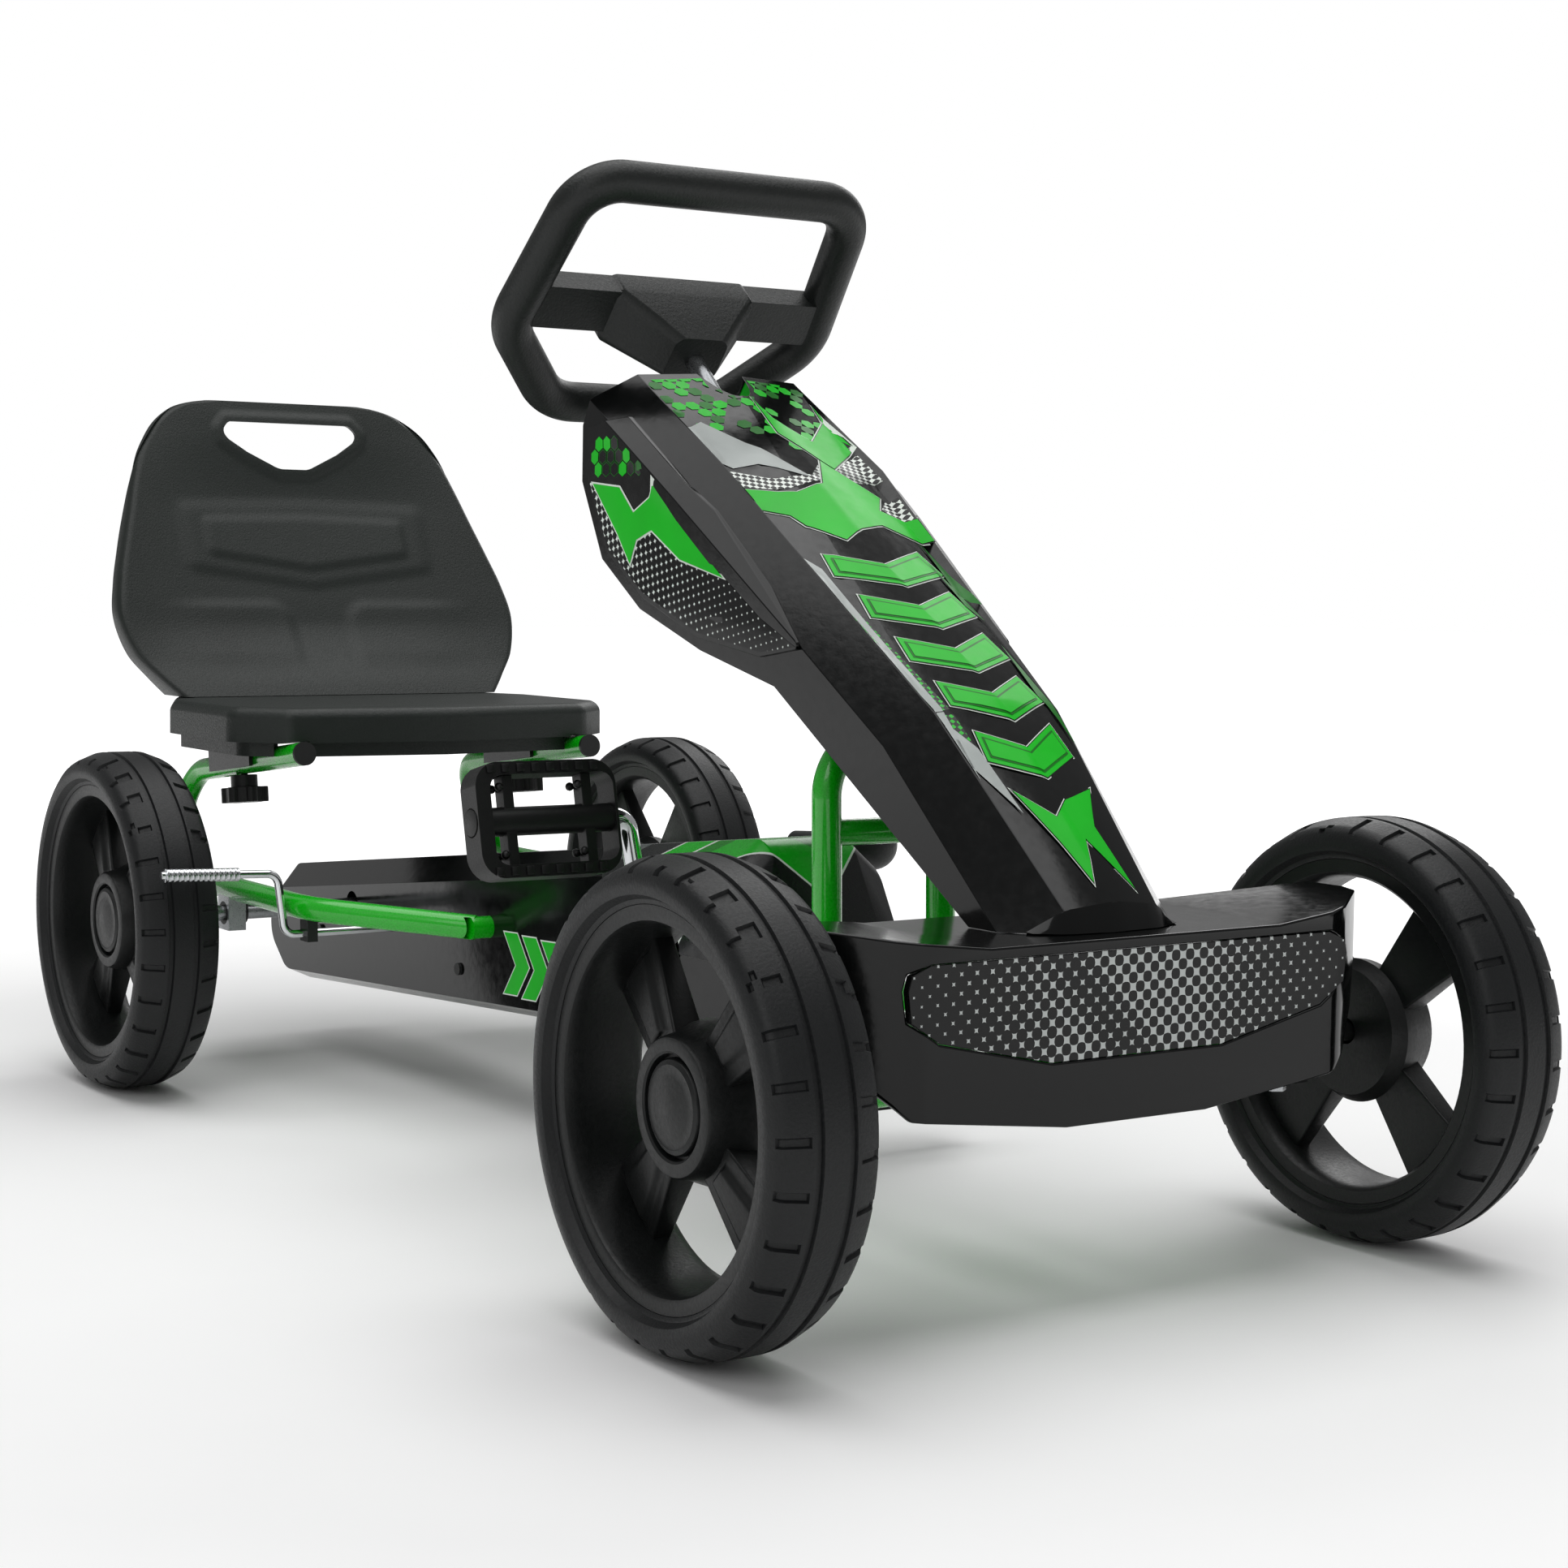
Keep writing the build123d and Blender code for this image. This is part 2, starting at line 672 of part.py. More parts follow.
def steering_hub():
    """Wedge-shaped pad with its two spokes, tapering down to the column."""
    pad = Rectangle(108, 44)
    pad = Pos(0, -5) * fillet(pad.vertices(), 8)
    foot = fillet(Rectangle(40, 34).vertices(), 8)
    upper = wheel_plane * Pos(0, 0, 8) * pad
    waist = wheel_plane * Pos(0, 0, -8) * pad
    lower = wheel_plane * Pos(0, -2, -46) * foot
    hub = loft([upper, waist], ruled=True) + loft([waist, lower], ruled=True)
    for side in (-1, 1):
        hub += wheel_plane * Pos(side * 80, -9, -1) * Box(60, 33, 18)
    return hub - steering_rim() - rod(wheel_hub - column_up * 60, wheel_hub - column_up * 2, column_r)


def hub_cover():
    plate = fillet(Rectangle(92, 34).vertices(), 10)
    return wheel_plane * Pos(0, -5, 8) * extrude(plate, amount=4)


def knuckle(side):
    """Fork round the kingpin sleeve, with kingpin, stub axle and steering arm."""
    y = side * kingpin_y
    low, high = sleeve_low - body_gap, sleeve_high + body_gap
    back = sorted((y + side * 11, y + side * 15))
    reach = sorted((y - side * 10, y + side * 15))
    fork = block((wheelbase - 11, wheelbase + 11), back, (low - 4, high + 4))
    fork += block((wheelbase - 11, wheelbase + 11), reach, (low - 4, low))
    arm_y = sorted((y - side * 10, y + side * 15))
    fork += block((tie_bar_x - 10, wheelbase + 11), arm_y, (high, high + 4))
    fork += rod((wheelbase, y, low - 4), (wheelbase, y, high + 4), kingpin_r)
    stub_end = side * (track / 2 + axle_overhang)
    fork += rod((wheelbase, y + side * 11, tyre_r), (wheelbase, stub_end, tyre_r), axle_r)
    fork += rod((tie_bar_x, y, high), (tie_bar_x, y, tie_bar_z[1] + 1), tie_pin_r)
    return fork


def knuckle_nuts(side):
    """Kingpin head and nut, and the nut on the tie bar pin."""
    y = side * kingpin_y
    low, high = sleeve_low - body_gap - 4, sleeve_high + body_gap + 4
    nut = extrude(RegularPolygon(6.5, 6), amount=5)
    bolt_head = Pos(wheelbase, y, high) * nut
    lower_nut = Pos(wheelbase, y, low - 5) * nut
    tie_nut = Pos(tie_bar_x, y, tie_bar_z[1] + body_gap) * nut
    tie_nut -= rod((tie_bar_x, y, 140), (tie_bar_x, y, tie_bar_z[1] + 1), tie_pin_r)
    return [bolt_head, lower_nut, tie_nut]


def tie_bar():
    """Flat bar between the steering arms, with the slot that the drop arm's pin works in."""
    bar = block((tie_bar_x - 8, tie_bar_x + 8), (-kingpin_y, kingpin_y), tie_bar_z)
    for side in (-1, 1):
        y = side * kingpin_y
        bar += rod((tie_bar_x, y, tie_bar_z[0]), (tie_bar_x, y, tie_bar_z[1]), 8)
        bar -= rod((tie_bar_x, y, tie_bar_z[0]), (tie_bar_x, y, tie_bar_z[1]), tie_pin_r + running_gap)
    boss = rod((tie_bar_x, 0, tie_bar_z[0]), (tie_bar_x, 0, tie_bar_z[1]), 12)
    return bar + boss - rod((tie_bar_x, 0, tie_bar_z[0]), (tie_bar_x, 0, tie_bar_z[1]), tie_pin_r + 3)


# ------------------------------------------------------------------ brake
sleeve_in_y = 199.0
sleeve_out_y = 257.0
brake_rod_bend = 9.0
lever_tip = (343.0, 214.0, 194.0)
lever_knee = (240.0, 205.0, 187.0)
lever_root_y = 186.0


def brake_bar():
    """Chrome rod across the kart, cranked up in front of each rear tyre, with the hand lever."""
    high = brake_z + brake_rise
    right = [(brake_x, -sleeve_out_y, high + 1), (brake_x, -169, high - 2), (brake_x, -163, brake_z)]
    left = [(x, -y, z) for x, y, z in reversed(right)]
    bar = bent_bar(right + left, [brake_rod_bend] * 4, brake_rod_r)
    root = (brake_x, lever_root_y, high - 1.4)
    return bar + bent_bar([root, lever_knee, lever_tip], [60.0], brake_rod_r + 0.5)


def brake_sleeves():
    high = brake_z + brake_rise
    slope = 3.0 / (sleeve_out_y - 169)
    sleeves = []
    for side in (-1, 1):
        inner = (brake_x, side * sleeve_in_y, high - 2 + slope * (sleeve_in_y - 169))
        outer = (brake_x, side * (sleeve_out_y - 3), high - 2 + slope * (sleeve_out_y - 172))
        sleeves.append(rod(inner, outer, 4.8) - rod(inner, outer, brake_rod_r))
    return sleeves


def brake_grip():
    """Long rubber grip with its bulb at the end of the lever."""
    tip, knee = Vector(*lever_tip), Vector(*lever_knee)
    grip = rod(knee + (tip - knee) * 0.12, tip, 9.5) + Pos(*tip) * Sphere(18.5)
    return grip - rod(knee, tip, brake_rod_r + 0.5)


def brake_clip():
    """Sheet clip under the right-hand stay that the brake rod turns in."""
    y = -stay_y + 7
    clip = block((brake_x - 7, brake_x + 7), (y - 4, y + 4), (brake_z - 6, stay_z))
    clip -= seat_hoop()
    return clip - rod((brake_x, -track, brake_z), (brake_x, 0, brake_z), brake_rod_r + running_gap)


# ------------------------------------------------------------------ seat
stud_r = 3.0
saddle_half_length = 42.0
saddle_wall = 3.0
rail_frame = Pos(knob_x, -rail_y, rail_height(knob_x)) * Rot(0, -rail_slope, 0)
saddle_top = 16.0


def seat_outline(inset):
    """Plan outline of the seat, bowed at the front."""
    half = [(78 - inset, 0), (60 - inset, 128 - inset), (25, seat_half - inset)]
    half += [(-100, seat_half - inset), (-176 + inset, 132 - inset)]
    outline = half + [(x, -y) for x, y in reversed(half) if y]
    face = make_face(Polyline(*outline, close=True))
    corners = [v for v in face.vertices() if abs(v.Y) > 1]
    return fillet(corners, 24)


def rail_groove(clear):
    """Space kept round the right-hand rail under the seat."""
    return rail_frame * Pos(40, 0, -30) * Box(420, 2 * (tube_r + clear), 2 * (30 + tube_r + clear))


def seat_base():
    upper = Pos(0, 0, seat_rim_z) * extrude(seat_outline(0), amount=seat_top_z - seat_rim_z)
    top = upper.faces().sort_by(Axis.Z)[-1]
    upper = fillet(top.edges(), 10)
    tray = Pos(0, 0, seat_tray_z) * extrude(seat_outline(9), amount=seat_rim_z - seat_tray_z)
    hollow = Pos(0, 0, seat_tray_z - 1) * extrude(seat_outline(16), amount=seat_rim_z - seat_tray_z + 18)
    base = upper + tray - hollow
    for clearance in (rail_groove(1.0), mirrored(rail_groove(1.0))):
        base -= clearance
    for side in (-1, 1):
        pad = block((knob_x - 50, knob_x + 50), (side * rail_y - 17, side * rail_y + 17), (240, seat_top_z - 9))
        base += pad - saddle_cut(side)
    return base


def saddle_cut(side):
    cut = rail_frame * Pos(0, 0, saddle_top - 40) * Box(140, 60, 80)
    return cut if side < 0 else mirrored(cut)


def saddle():
    """Steel channel under the seat that slides along the right-hand rail."""
    outer = 2 * (tube_r + body_gap + saddle_wall)
    low = -4.0
    channel = Pos(0, 0, (low + saddle_top) / 2) * Box(2 * saddle_half_length, outer, saddle_top - low)
    channel -= Pos(0, 0, 0) * Rot(0, 90, 0) * Cylinder(tube_r + body_gap, 200)
    channel -= Pos(0, 0, -10) * Box(200, 2 * (tube_r + body_gap), 20)
    return rail_frame * (channel - Cylinder(stud_r + running_gap, 60))


def knob():
    """Star knob and stud that clamp the right-hand saddle to its rail."""
    star = Circle(15)
    for index in range(6):
        star += Rot(0, 0, index * 60) * Pos(14, 0) * Circle(4.5)
    head = Pos(0, 0, -tube_r - 22) * extrude(star, amount=12)
    collar = Pos(0, 0, -tube_r - 10) * extrude(Circle(10.5), amount=10 - body_gap)
    stud = Pos(0, 0, -tube_r - 2) * extrude(Circle(stud_r), amount=tube_r + 16)
    return rail_frame * (head + collar + stud)


back_front = ((-122, seat_top_z + body_gap), (-145, 318), (-172, 372), (-203, 436), (-239, 511), (-250, 540))
back_rear = ((-seat_back_reach, 534), (-247, 520), (-240, 505), (-223, 436), (-194, 372), (-176, 309))
back_half = ((140, 280), (155, 302), (172, 322), (180, 352), (168, 407), (152, 455), (141, 487))
back_half += ((124, 516), (100, 531), (76, 536))


def back_band():
    """Side view of the seat back between its front and rear surfaces."""
    rear = list(back_rear) + [(-170, seat_top_z + body_gap)]
    return side_profile(list(back_front) + rear, -200, 200)


def back_outline(inset):
    half = [(y - inset, z) for y, z in back_half]
    top = [(0, half[-1][1] + 2)]
    outline = half + top + [(-y, z) for y, z in reversed(half)]
    face = make_face(Polyline(*outline, close=True))
    return extrude(Plane.YZ * face, amount=400, both=True)


def handle_hole():
    """Grip opening in the top of the back."""
    half = [(0, 476), (40, 494), (64, 506), (66, 514), (58, 520), (0, 520)]
    outline = half + [(-y, z) for y, z in reversed(half) if y]
    face = make_face(Polyline(*outline, close=True))
    return extrude(Plane.YZ * face, amount=400, both=True)


def seat_back():
    """Moulded back, dished between its side flanges, with the grip opening."""
    slab = back_outline(0) & back_band()
    dish_front = [(x + 30, z) for x, z in back_front[1:-1]]
    dish_back = [(-226, 498), (-203, 436), (-184, 385), (-162, 330), (-152, 318)]
    dish = side_profile(dish_front + dish_back, -200, 200) & back_outline(14)
    return slab - dish - handle_hole()


# ------------------------------------------------------------------ all nodes
def wheel_nodes(name, x, side):
    return {
        name + "_tyre": [at_wheel(tyre(), x, side)],
        name + "_rim": [at_wheel(rim(), x, side), at_wheel(hub_cap(), x, side)],
    }


def both(shape):
    """A right-hand piece and its twin on the left."""
    return [shape, mirrored(shape)]


parts = {
    "main_tubes": [rear_main_tube(), front_main_tube()],
    "bottom_bracket_shell": [bottom_bracket_shell()],
    "crank_bushes": crank_bushes(),
    "front_axle_beam": [front_axle_beam()] + kingpin_sleeves(),
    "steering_hoop": [steering_hoop(), hoop_crossbar()],
    "column_sleeve": [column_sleeve()],
    "column_bushes": column_bushes(),
    "column_foot_bearing": [column_foot_bearing()],
    "right_seat_hoop": [seat_hoop()],
    "left_seat_hoop": [mirrored(seat_hoop())],
    "rail_caps": both(rail_cap()),
    "stay_cross_tube": [stay_cross_tube()],
    "axle_brackets": both(axle_bracket()),
    "axle_bushes": both(axle_bush()),
    "brake_clips": both(brake_clip()),
    "chain": [chain()],
    "right_guard_shell": [guard_shell()],
    "left_guard_shell": [mirrored(guard_shell())],
    "guard_nose_cover": [guard_nose_cover()],
    "guard_screws": guard_screws(),
    "shroud_shell": [shroud_shell()],
    "right_wing_panel": [wing_panel()],
    "left_wing_panel": [mirrored(wing_panel())],
    "bumper_shell": [bumper_shell()],
    "bumper_panel": [bumper_panel()],
    "bumper_brackets": bumper_brackets(),
    "steering_column": [steering_column()],
    "steering_rim": [steering_rim()],
    "steering_hub": [steering_hub()],
    "hub_cover": [hub_cover()],
    "right_knuckle": [knuckle(-1)],
    "left_knuckle": [knuckle(1)],
    "right_knuckle_nuts": knuckle_nuts(-1),
    "left_knuckle_nuts": knuckle_nuts(1),
    "tie_bar": [tie_bar()],
    "rear_axle": [rear_axle()],
    "rear_sprocket": [rear_sprocket()],
    "crank": [crank()],
    "chainring": [chainring()],
    "right_pedal_cage": [pedal_cage(-1)],
    "right_pedal_barrel": [pedal_barrel(-1)],
    "left_pedal_cage": [pedal_cage(1)],
    "left_pedal_barrel": [pedal_barrel(1)],
    "brake_bar": [brake_bar()],
    "brake_sleeves": brake_sleeves(),
    "brake_grip": [brake_grip()],
    "seat_base": [seat_base()],
    "seat_back": [seat_back()],
    "seat_saddles": both(saddle()),
    "right_knob": [knob()],
    "left_knob": [mirrored(knob())],
}
for wheel, place, hand in (("front_right", wheelbase, -1), ("front_left", wheelbase, 1),
                           ("rear_right", 0.0, -1), ("rear_left", 0.0, 1)):
    parts.update(wheel_nodes(wheel, place, hand))

# The kart's length runs from the top of the seat back to the front of the front tyres.
middle_x = (wheelbase + tyre_r - seat_back_reach) / 2
os.makedirs("parts", exist_ok=True)
for node, solids in parts.items():
    moved = [Pos(-middle_x, 0, 0) * solid for solid in solids]
    export_step(Compound(children=moved) if len(moved) > 1 else moved[0], f"parts/{node}.step")
print(len(parts), "nodes")
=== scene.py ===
import math
import random

import bpy
from mathutils import Matrix, Vector
from mathutils.bvhtree import BVHTree


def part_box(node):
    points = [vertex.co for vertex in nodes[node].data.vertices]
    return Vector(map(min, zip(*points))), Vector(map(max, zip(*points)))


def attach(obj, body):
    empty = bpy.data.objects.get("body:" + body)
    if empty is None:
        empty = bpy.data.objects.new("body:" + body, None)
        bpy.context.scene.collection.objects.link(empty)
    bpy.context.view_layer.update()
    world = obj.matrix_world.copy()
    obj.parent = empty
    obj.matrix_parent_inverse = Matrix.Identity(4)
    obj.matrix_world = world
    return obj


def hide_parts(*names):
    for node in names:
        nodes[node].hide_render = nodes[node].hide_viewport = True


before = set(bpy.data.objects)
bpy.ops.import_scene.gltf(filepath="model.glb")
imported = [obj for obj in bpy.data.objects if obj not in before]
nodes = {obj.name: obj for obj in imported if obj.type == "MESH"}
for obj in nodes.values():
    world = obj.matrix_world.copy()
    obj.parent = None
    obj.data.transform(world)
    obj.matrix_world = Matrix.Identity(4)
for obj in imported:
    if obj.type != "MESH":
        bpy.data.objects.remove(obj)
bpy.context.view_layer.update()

# ---- Tyres.  Solid blow-moulded rubbery plastic, matt black, with two grooves round the tread
# and a row of pockets on each shoulder.  Sizes are in millimetres from the rear axle line,
# forward, left and up, and placed() makes them metres in the frame of the whole kart.
rear_axle_x = sum(c.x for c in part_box("rear_axle")) / 2


def placed(x, y, z):
    return Vector((x / 1000 + rear_axle_x, y / 1000, z / 1000))


def start_clean():
    if bpy.context.object and bpy.context.object.mode != "OBJECT":
        bpy.ops.object.mode_set(mode="OBJECT")
    bpy.ops.object.select_all(action="DESELECT")


def linear(code):
    """A hex sRGB colour as the linear values that a shader takes."""
    parts = [int(code[i:i + 2], 16) / 255 for i in (1, 3, 5)]
    shades = [c / 12.92 if c <= 0.04045 else ((c + 0.055) / 1.055) ** 2.4 for c in parts]
    return tuple(shades) + (1.0,)


def add_node(tree, kind, inputs=None, **settings):
    made = tree.nodes.new("ShaderNode" + kind)
    for name, value in settings.items():
        setattr(made, name, value)
    for key, value in (inputs or {}).items():
        if isinstance(value, bpy.types.NodeSocket):
            tree.links.new(value, made.inputs[key])
        else:
            made.inputs[key].default_value = value
    return made


def surface(name, light, dark, rough, grain_mm, bump, metallic=0.0, coat=0.0, patch_mm=90.0,
            rough_swing=0.06, shine=0.5):
    """A finish with two close shades drifting over it, and a grain of a stated size."""
    material = bpy.data.materials.new(name)
    material.use_nodes = True
    tree = material.node_tree
    shader = tree.nodes["Principled BSDF"]
    place = add_node(tree, "TexCoord").outputs["Object"]
    drift = add_node(tree, "TexNoise", {"Vector": place, "Scale": 1000 / patch_mm, "Detail": 3.0})
    shade = add_node(tree, "Mix", {0: drift.outputs["Fac"], 6: linear(light), 7: linear(dark)},
                     data_type="RGBA")
    grain = add_node(tree, "TexNoise", {"Vector": place, "Scale": 1000 / grain_mm, "Detail": 4.0})
    sheen = add_node(tree, "MapRange", {0: grain.outputs["Fac"], 1: 0.3, 2: 0.7,
                                        3: rough - rough_swing, 4: rough + rough_swing})
    raised = add_node(tree, "Bump", {"Height": grain.outputs["Fac"], "Strength": bump,
                                     "Distance": grain_mm / 2000})
    tree.links.new(shade.outputs[2], shader.inputs["Base Color"])
    tree.links.new(sheen.outputs[0], shader.inputs["Roughness"])
    tree.links.new(raised.outputs[0], shader.inputs["Normal"])
    shader.inputs["Metallic"].default_value = metallic
    shader.inputs["Coat Weight"].default_value = coat
    shader.inputs["Coat Roughness"].default_value = 0.06
    shader.inputs["Specular IOR Level"].default_value = shine
    return material


def finished(piece, material, body, slot, *replaced):
    """Gives a new piece its finish and its body, and hides the CAD nodes it stands for. The slot is not
    used.
    """
    piece.data.materials.clear()
    piece.data.materials.append(material)
    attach(piece, body)
    if replaced:
        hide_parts(*replaced)
    return piece


def smooth(piece, angle=35):
    start_clean()
    piece.select_set(True)
    bpy.context.view_layer.objects.active = piece
    bpy.ops.object.shade_smooth_by_angle(angle=math.radians(angle))
    return piece


def outline_piece(name, points):
    """An open line of points, extruded one after another from a single vertex."""
    start_clean()
    bpy.ops.mesh.primitive_plane_add(size=0.001)
    piece = bpy.context.object
    piece.name = name
    bpy.ops.object.mode_set(mode="EDIT")
    bpy.ops.mesh.select_mode(type="VERT")
    bpy.ops.mesh.select_all(action="SELECT")
    bpy.ops.mesh.merge(type="CENTER")
    bpy.ops.transform.translate(value=points[0])
    here = Vector(points[0])
    for point in points[1:]:
        bpy.ops.mesh.extrude_region_move(TRANSFORM_OT_translate={"value": Vector(point) - here})
        here = Vector(point)
    bpy.ops.object.mode_set(mode="OBJECT")
    return piece


def spun(name, profile, steps):
    """A closed profile of (offset along the axle, radius) turned about the Y axis."""
    points = [(0, offset / 1000, radius / 1000) for offset, radius in profile]
    piece = outline_piece(name, points + points[:1])
    bpy.ops.object.mode_set(mode="EDIT")
    bpy.ops.mesh.select_all(action="SELECT")
    bpy.ops.mesh.spin(steps=steps, angle=2 * math.pi, center=(0, 0, 0), axis=(0, 1, 0))
    bpy.ops.mesh.select_all(action="SELECT")
    bpy.ops.mesh.remove_doubles(threshold=0.00002)
    bpy.ops.mesh.normals_make_consistent(inside=False)
    bpy.ops.object.mode_set(mode="OBJECT")
    return piece


tyre_black = surface("moulded_tyre_compound", "#151718", "#0F1011", 0.46, 1.6, 0.25, patch_mm=70,
                     shine=0.32)
tyre_half = [(24.4, 102.7), (25.2, 103.6), (25.6, 105.2), (27.2, 106.0), (30.0, 107.6), (30.9, 110.5)]
tyre_half += [(30.6, 114.0), (29.2, 118.2), (27.4, 121.0), (24.6, 122.6), (23.4, 123.0), (14.2, 126.6)]
tyre_half += [(11.6, 126.9), (10.8, 125.2), (8.0, 125.2), (7.2, 127.0)]
tyre_steps = 150
tyre = spun("tyre_pattern", tyre_half + [(-o, r) for o, r in reversed(tyre_half)], tyre_steps)
bpy.ops.object.mode_set(mode="EDIT")
bpy.ops.mesh.select_all(action="DESELECT")
bpy.ops.object.mode_set(mode="OBJECT")
shoulder_from, shoulder_to, tread_from, pocket_every, left_late = 0.0142, 0.0290, 0.1185, 5, 2
for face in tyre.data.polygons:
    centre = face.center
    on_shoulder = shoulder_from < abs(centre.y) < shoulder_to
    on_tread = math.hypot(centre.x, centre.z) > tread_from
    turn = math.degrees(math.atan2(centre.z, centre.x)) % 360
    column = int(turn / (360 / tyre_steps)) + (left_late if centre.y > 0 else 0)
    face.select = on_shoulder and on_tread and column % pocket_every == 0
bpy.ops.object.mode_set(mode="EDIT")
bpy.ops.mesh.select_mode(type="FACE")
bpy.ops.mesh.inset(thickness=0.0009, depth=-0.0019)
bpy.ops.object.mode_set(mode="OBJECT")
smooth(tyre, 32)

# ---- Rims.  One-piece moulded polypropylene: a deep barrel with a flange, four blades that
# widen towards the barrel, a hub boss and a snapped-in cap.  Satin black with a fine grain.
def copied(piece, name, matrix):
    """A copy with its own mesh, moved by a matrix that is baked into the mesh."""
    twin = piece.copy()
    twin.data = piece.data.copy()
    twin.name = name
    twin.data.transform(matrix)
    bpy.context.collection.objects.link(twin)
    return twin


def joined(name, pieces):
    start_clean()
    for piece in pieces:
        piece.select_set(True)
    bpy.context.view_layer.objects.active = pieces[0]
    bpy.ops.object.join()
    pieces[0].name = name
    return pieces[0]


rim_black = surface("moulded_rim_polypropylene", "#111313", "#0B0D0D", 0.40, 2.2, 0.12, patch_mm=60,
                    shine=0.32)
barrel = [(24.2, 102.4), (24.2, 96.5), (23.4, 94.4), (21.6, 93.4), (14.0, 92.6), (-6.0, 91.0)]
barrel += [(-16.0, 91.4), (-22.0, 93.0), (-24.2, 95.0), (-24.2, 102.4)]
boss = [(-22.0, 8.0), (-22.0, 38.0), (-14.0, 43.0), (-6.0, 42.0), (4.0, 38.0), (12.6, 36.2)]
boss += [(14.0, 35.2), (14.5, 33.6), (14.5, 28.4), (13.6, 27.2), (9.0, 26.6), (8.4, 8.0)]
cap = [(7.8, 0.01), (7.8, 25.0), (12.0, 25.0), (13.6, 24.0), (14.6, 21.6), (14.2, 20.6)]
cap += [(14.9, 16.0), (16.6, 8.0), (17.2, 0.01)]
rim_parts = [spun("barrel", barrel, 96), spun("boss", boss, 64), spun("cap", cap, 64)]
# Half width, front face and distance from the axle of a blade's end, in metres.
blade_tip, blade_root, blade_back = (0.025, -0.0035, 0.0945), (0.014, 0.004, 0.034), -0.014
for index in range(4):
    start_clean()
    bpy.ops.mesh.primitive_cube_add(size=1)
    blade = bpy.context.object
    for vertex in blade.data.vertices:
        half, front, reach = blade_tip if vertex.co.z > 0 else blade_root
        depth = front if vertex.co.y > 0 else blade_back
        vertex.co = (math.copysign(half, vertex.co.x), depth, reach)
    bpy.ops.object.mode_set(mode="EDIT")
    bpy.ops.mesh.select_mode(type="FACE")
    bpy.ops.mesh.select_all(action="DESELECT")
    bpy.ops.object.mode_set(mode="OBJECT")
    for face in blade.data.polygons:
        face.select = face.normal.y > 0.8
    bpy.ops.object.mode_set(mode="EDIT")
    bpy.ops.mesh.inset(thickness=0.0075, depth=0.0)
    bpy.ops.mesh.extrude_region_move(TRANSFORM_OT_translate={"value": (0, 0.0035, 0)})
    bpy.ops.transform.resize(value=(0.7, 1, 0.96))
    bpy.ops.object.mode_set(mode="OBJECT")
    bevel = blade.modifiers.new("edges", "BEVEL")
    bevel.width, bevel.segments, bevel.limit_method = 0.0016, 3, "ANGLE"
    bpy.ops.object.modifier_apply(modifier="edges")
    blade.data.transform(Matrix.Rotation(math.radians(45 + 90 * index), 4, "Y"))
    rim_parts.append(blade)
rim = smooth(joined("rim_pattern", rim_parts), 35)

half_track, wheelbase, axle_z = 237.5, 830.0, 127.0
wheels = (("front_right", wheelbase, -1, "front_right_wheel"),
          ("front_left", wheelbase, 1, "front_left_wheel"),
          ("rear_right", 0.0, -1, "rear_axle"), ("rear_left", 0.0, 1, "rear_axle"))
for name, x, side, body in wheels:
    facing = Matrix.Rotation(math.pi if side < 0 else 0, 4, "Z")
    place = Matrix.Translation(placed(x, side * half_track, axle_z)) @ facing
    for pattern, part, finish, slot in ((tyre, "_tyre", tyre_black, "tyre_compound"),
                                        (rim, "_rim", rim_black, "rim_plastic")):
        moulding = copied(pattern, name + part + "_moulding", place)
        finished(moulding, finish, body, slot, name + part)
for pattern in (tyre, rim):
    bpy.data.objects.remove(pattern)

# ---- Frame tubes.  Bent and welded steel tube, powder coated bright green.  The coat levels
# to a gloss with a slight orange peel.
def coat_nodes(material, *names):
    for name in names:
        nodes[name].data.materials.clear()
        nodes[name].data.materials.append(material)


green_coat = surface("green_powder_coat", "#05BE0E", "#04A80B", 0.28, 1.4, 0.05, coat=0.6,
                     patch_mm=120)
coat_nodes(green_coat, "main_tubes", "bottom_bracket_shell", "front_axle_beam", "steering_hoop",
           "column_sleeve", "right_seat_hoop", "left_seat_hoop", "stay_cross_tube")

# ---- Small steel parts.  Zinc-plated turned and pressed steel, a bright satin grey, black
# painted pressings, and black nylon bushes and caps pushed into the tubes.
zinc = surface("zinc_plated_steel", "#B9BBBD", "#9DA0A3", 0.30, 0.8, 0.06, metallic=1.0, patch_mm=25)
black_paint = surface("black_painted_steel", "#0D0E0E", "#131414", 0.42, 1.2, 0.10, patch_mm=40)
black_nylon = surface("black_nylon", "#0E0F0F", "#141515", 0.5, 0.9, 0.15, patch_mm=30)
coat_nodes(zinc, "chain", "chainring", "rear_sprocket", "steering_column", "rear_axle",
           "right_knuckle_nuts", "left_knuckle_nuts", "axle_brackets")
coat_nodes(black_paint, "column_foot_bearing", "brake_clips", "bumper_brackets", "seat_saddles",
           "tie_bar", "right_knuckle", "left_knuckle")
coat_nodes(black_nylon, "crank_bushes", "column_bushes", "axle_bushes", "rail_caps", "hub_cover",
           "guard_screws")

# ---- Crank and brake rod.  Bent from steel bar and chrome plated.  The sleeves that press on
# the tyres have a rolled diamond knurl.
chrome = surface("polished_chrome_plate", "#E3E5E6", "#D2D5D8", 0.09, 3.0, 0.01, metallic=1.0,
                 patch_mm=60, rough_swing=0.02)
coat_nodes(chrome, "crank", "brake_bar")
knurled = surface("knurled_chrome_plate", "#D9DBDD", "#BFC2C5", 0.22, 1.5, 0.05, metallic=1.0,
                  patch_mm=30)
tree = knurled.node_tree
place = add_node(tree, "TexCoord").outputs["Object"]
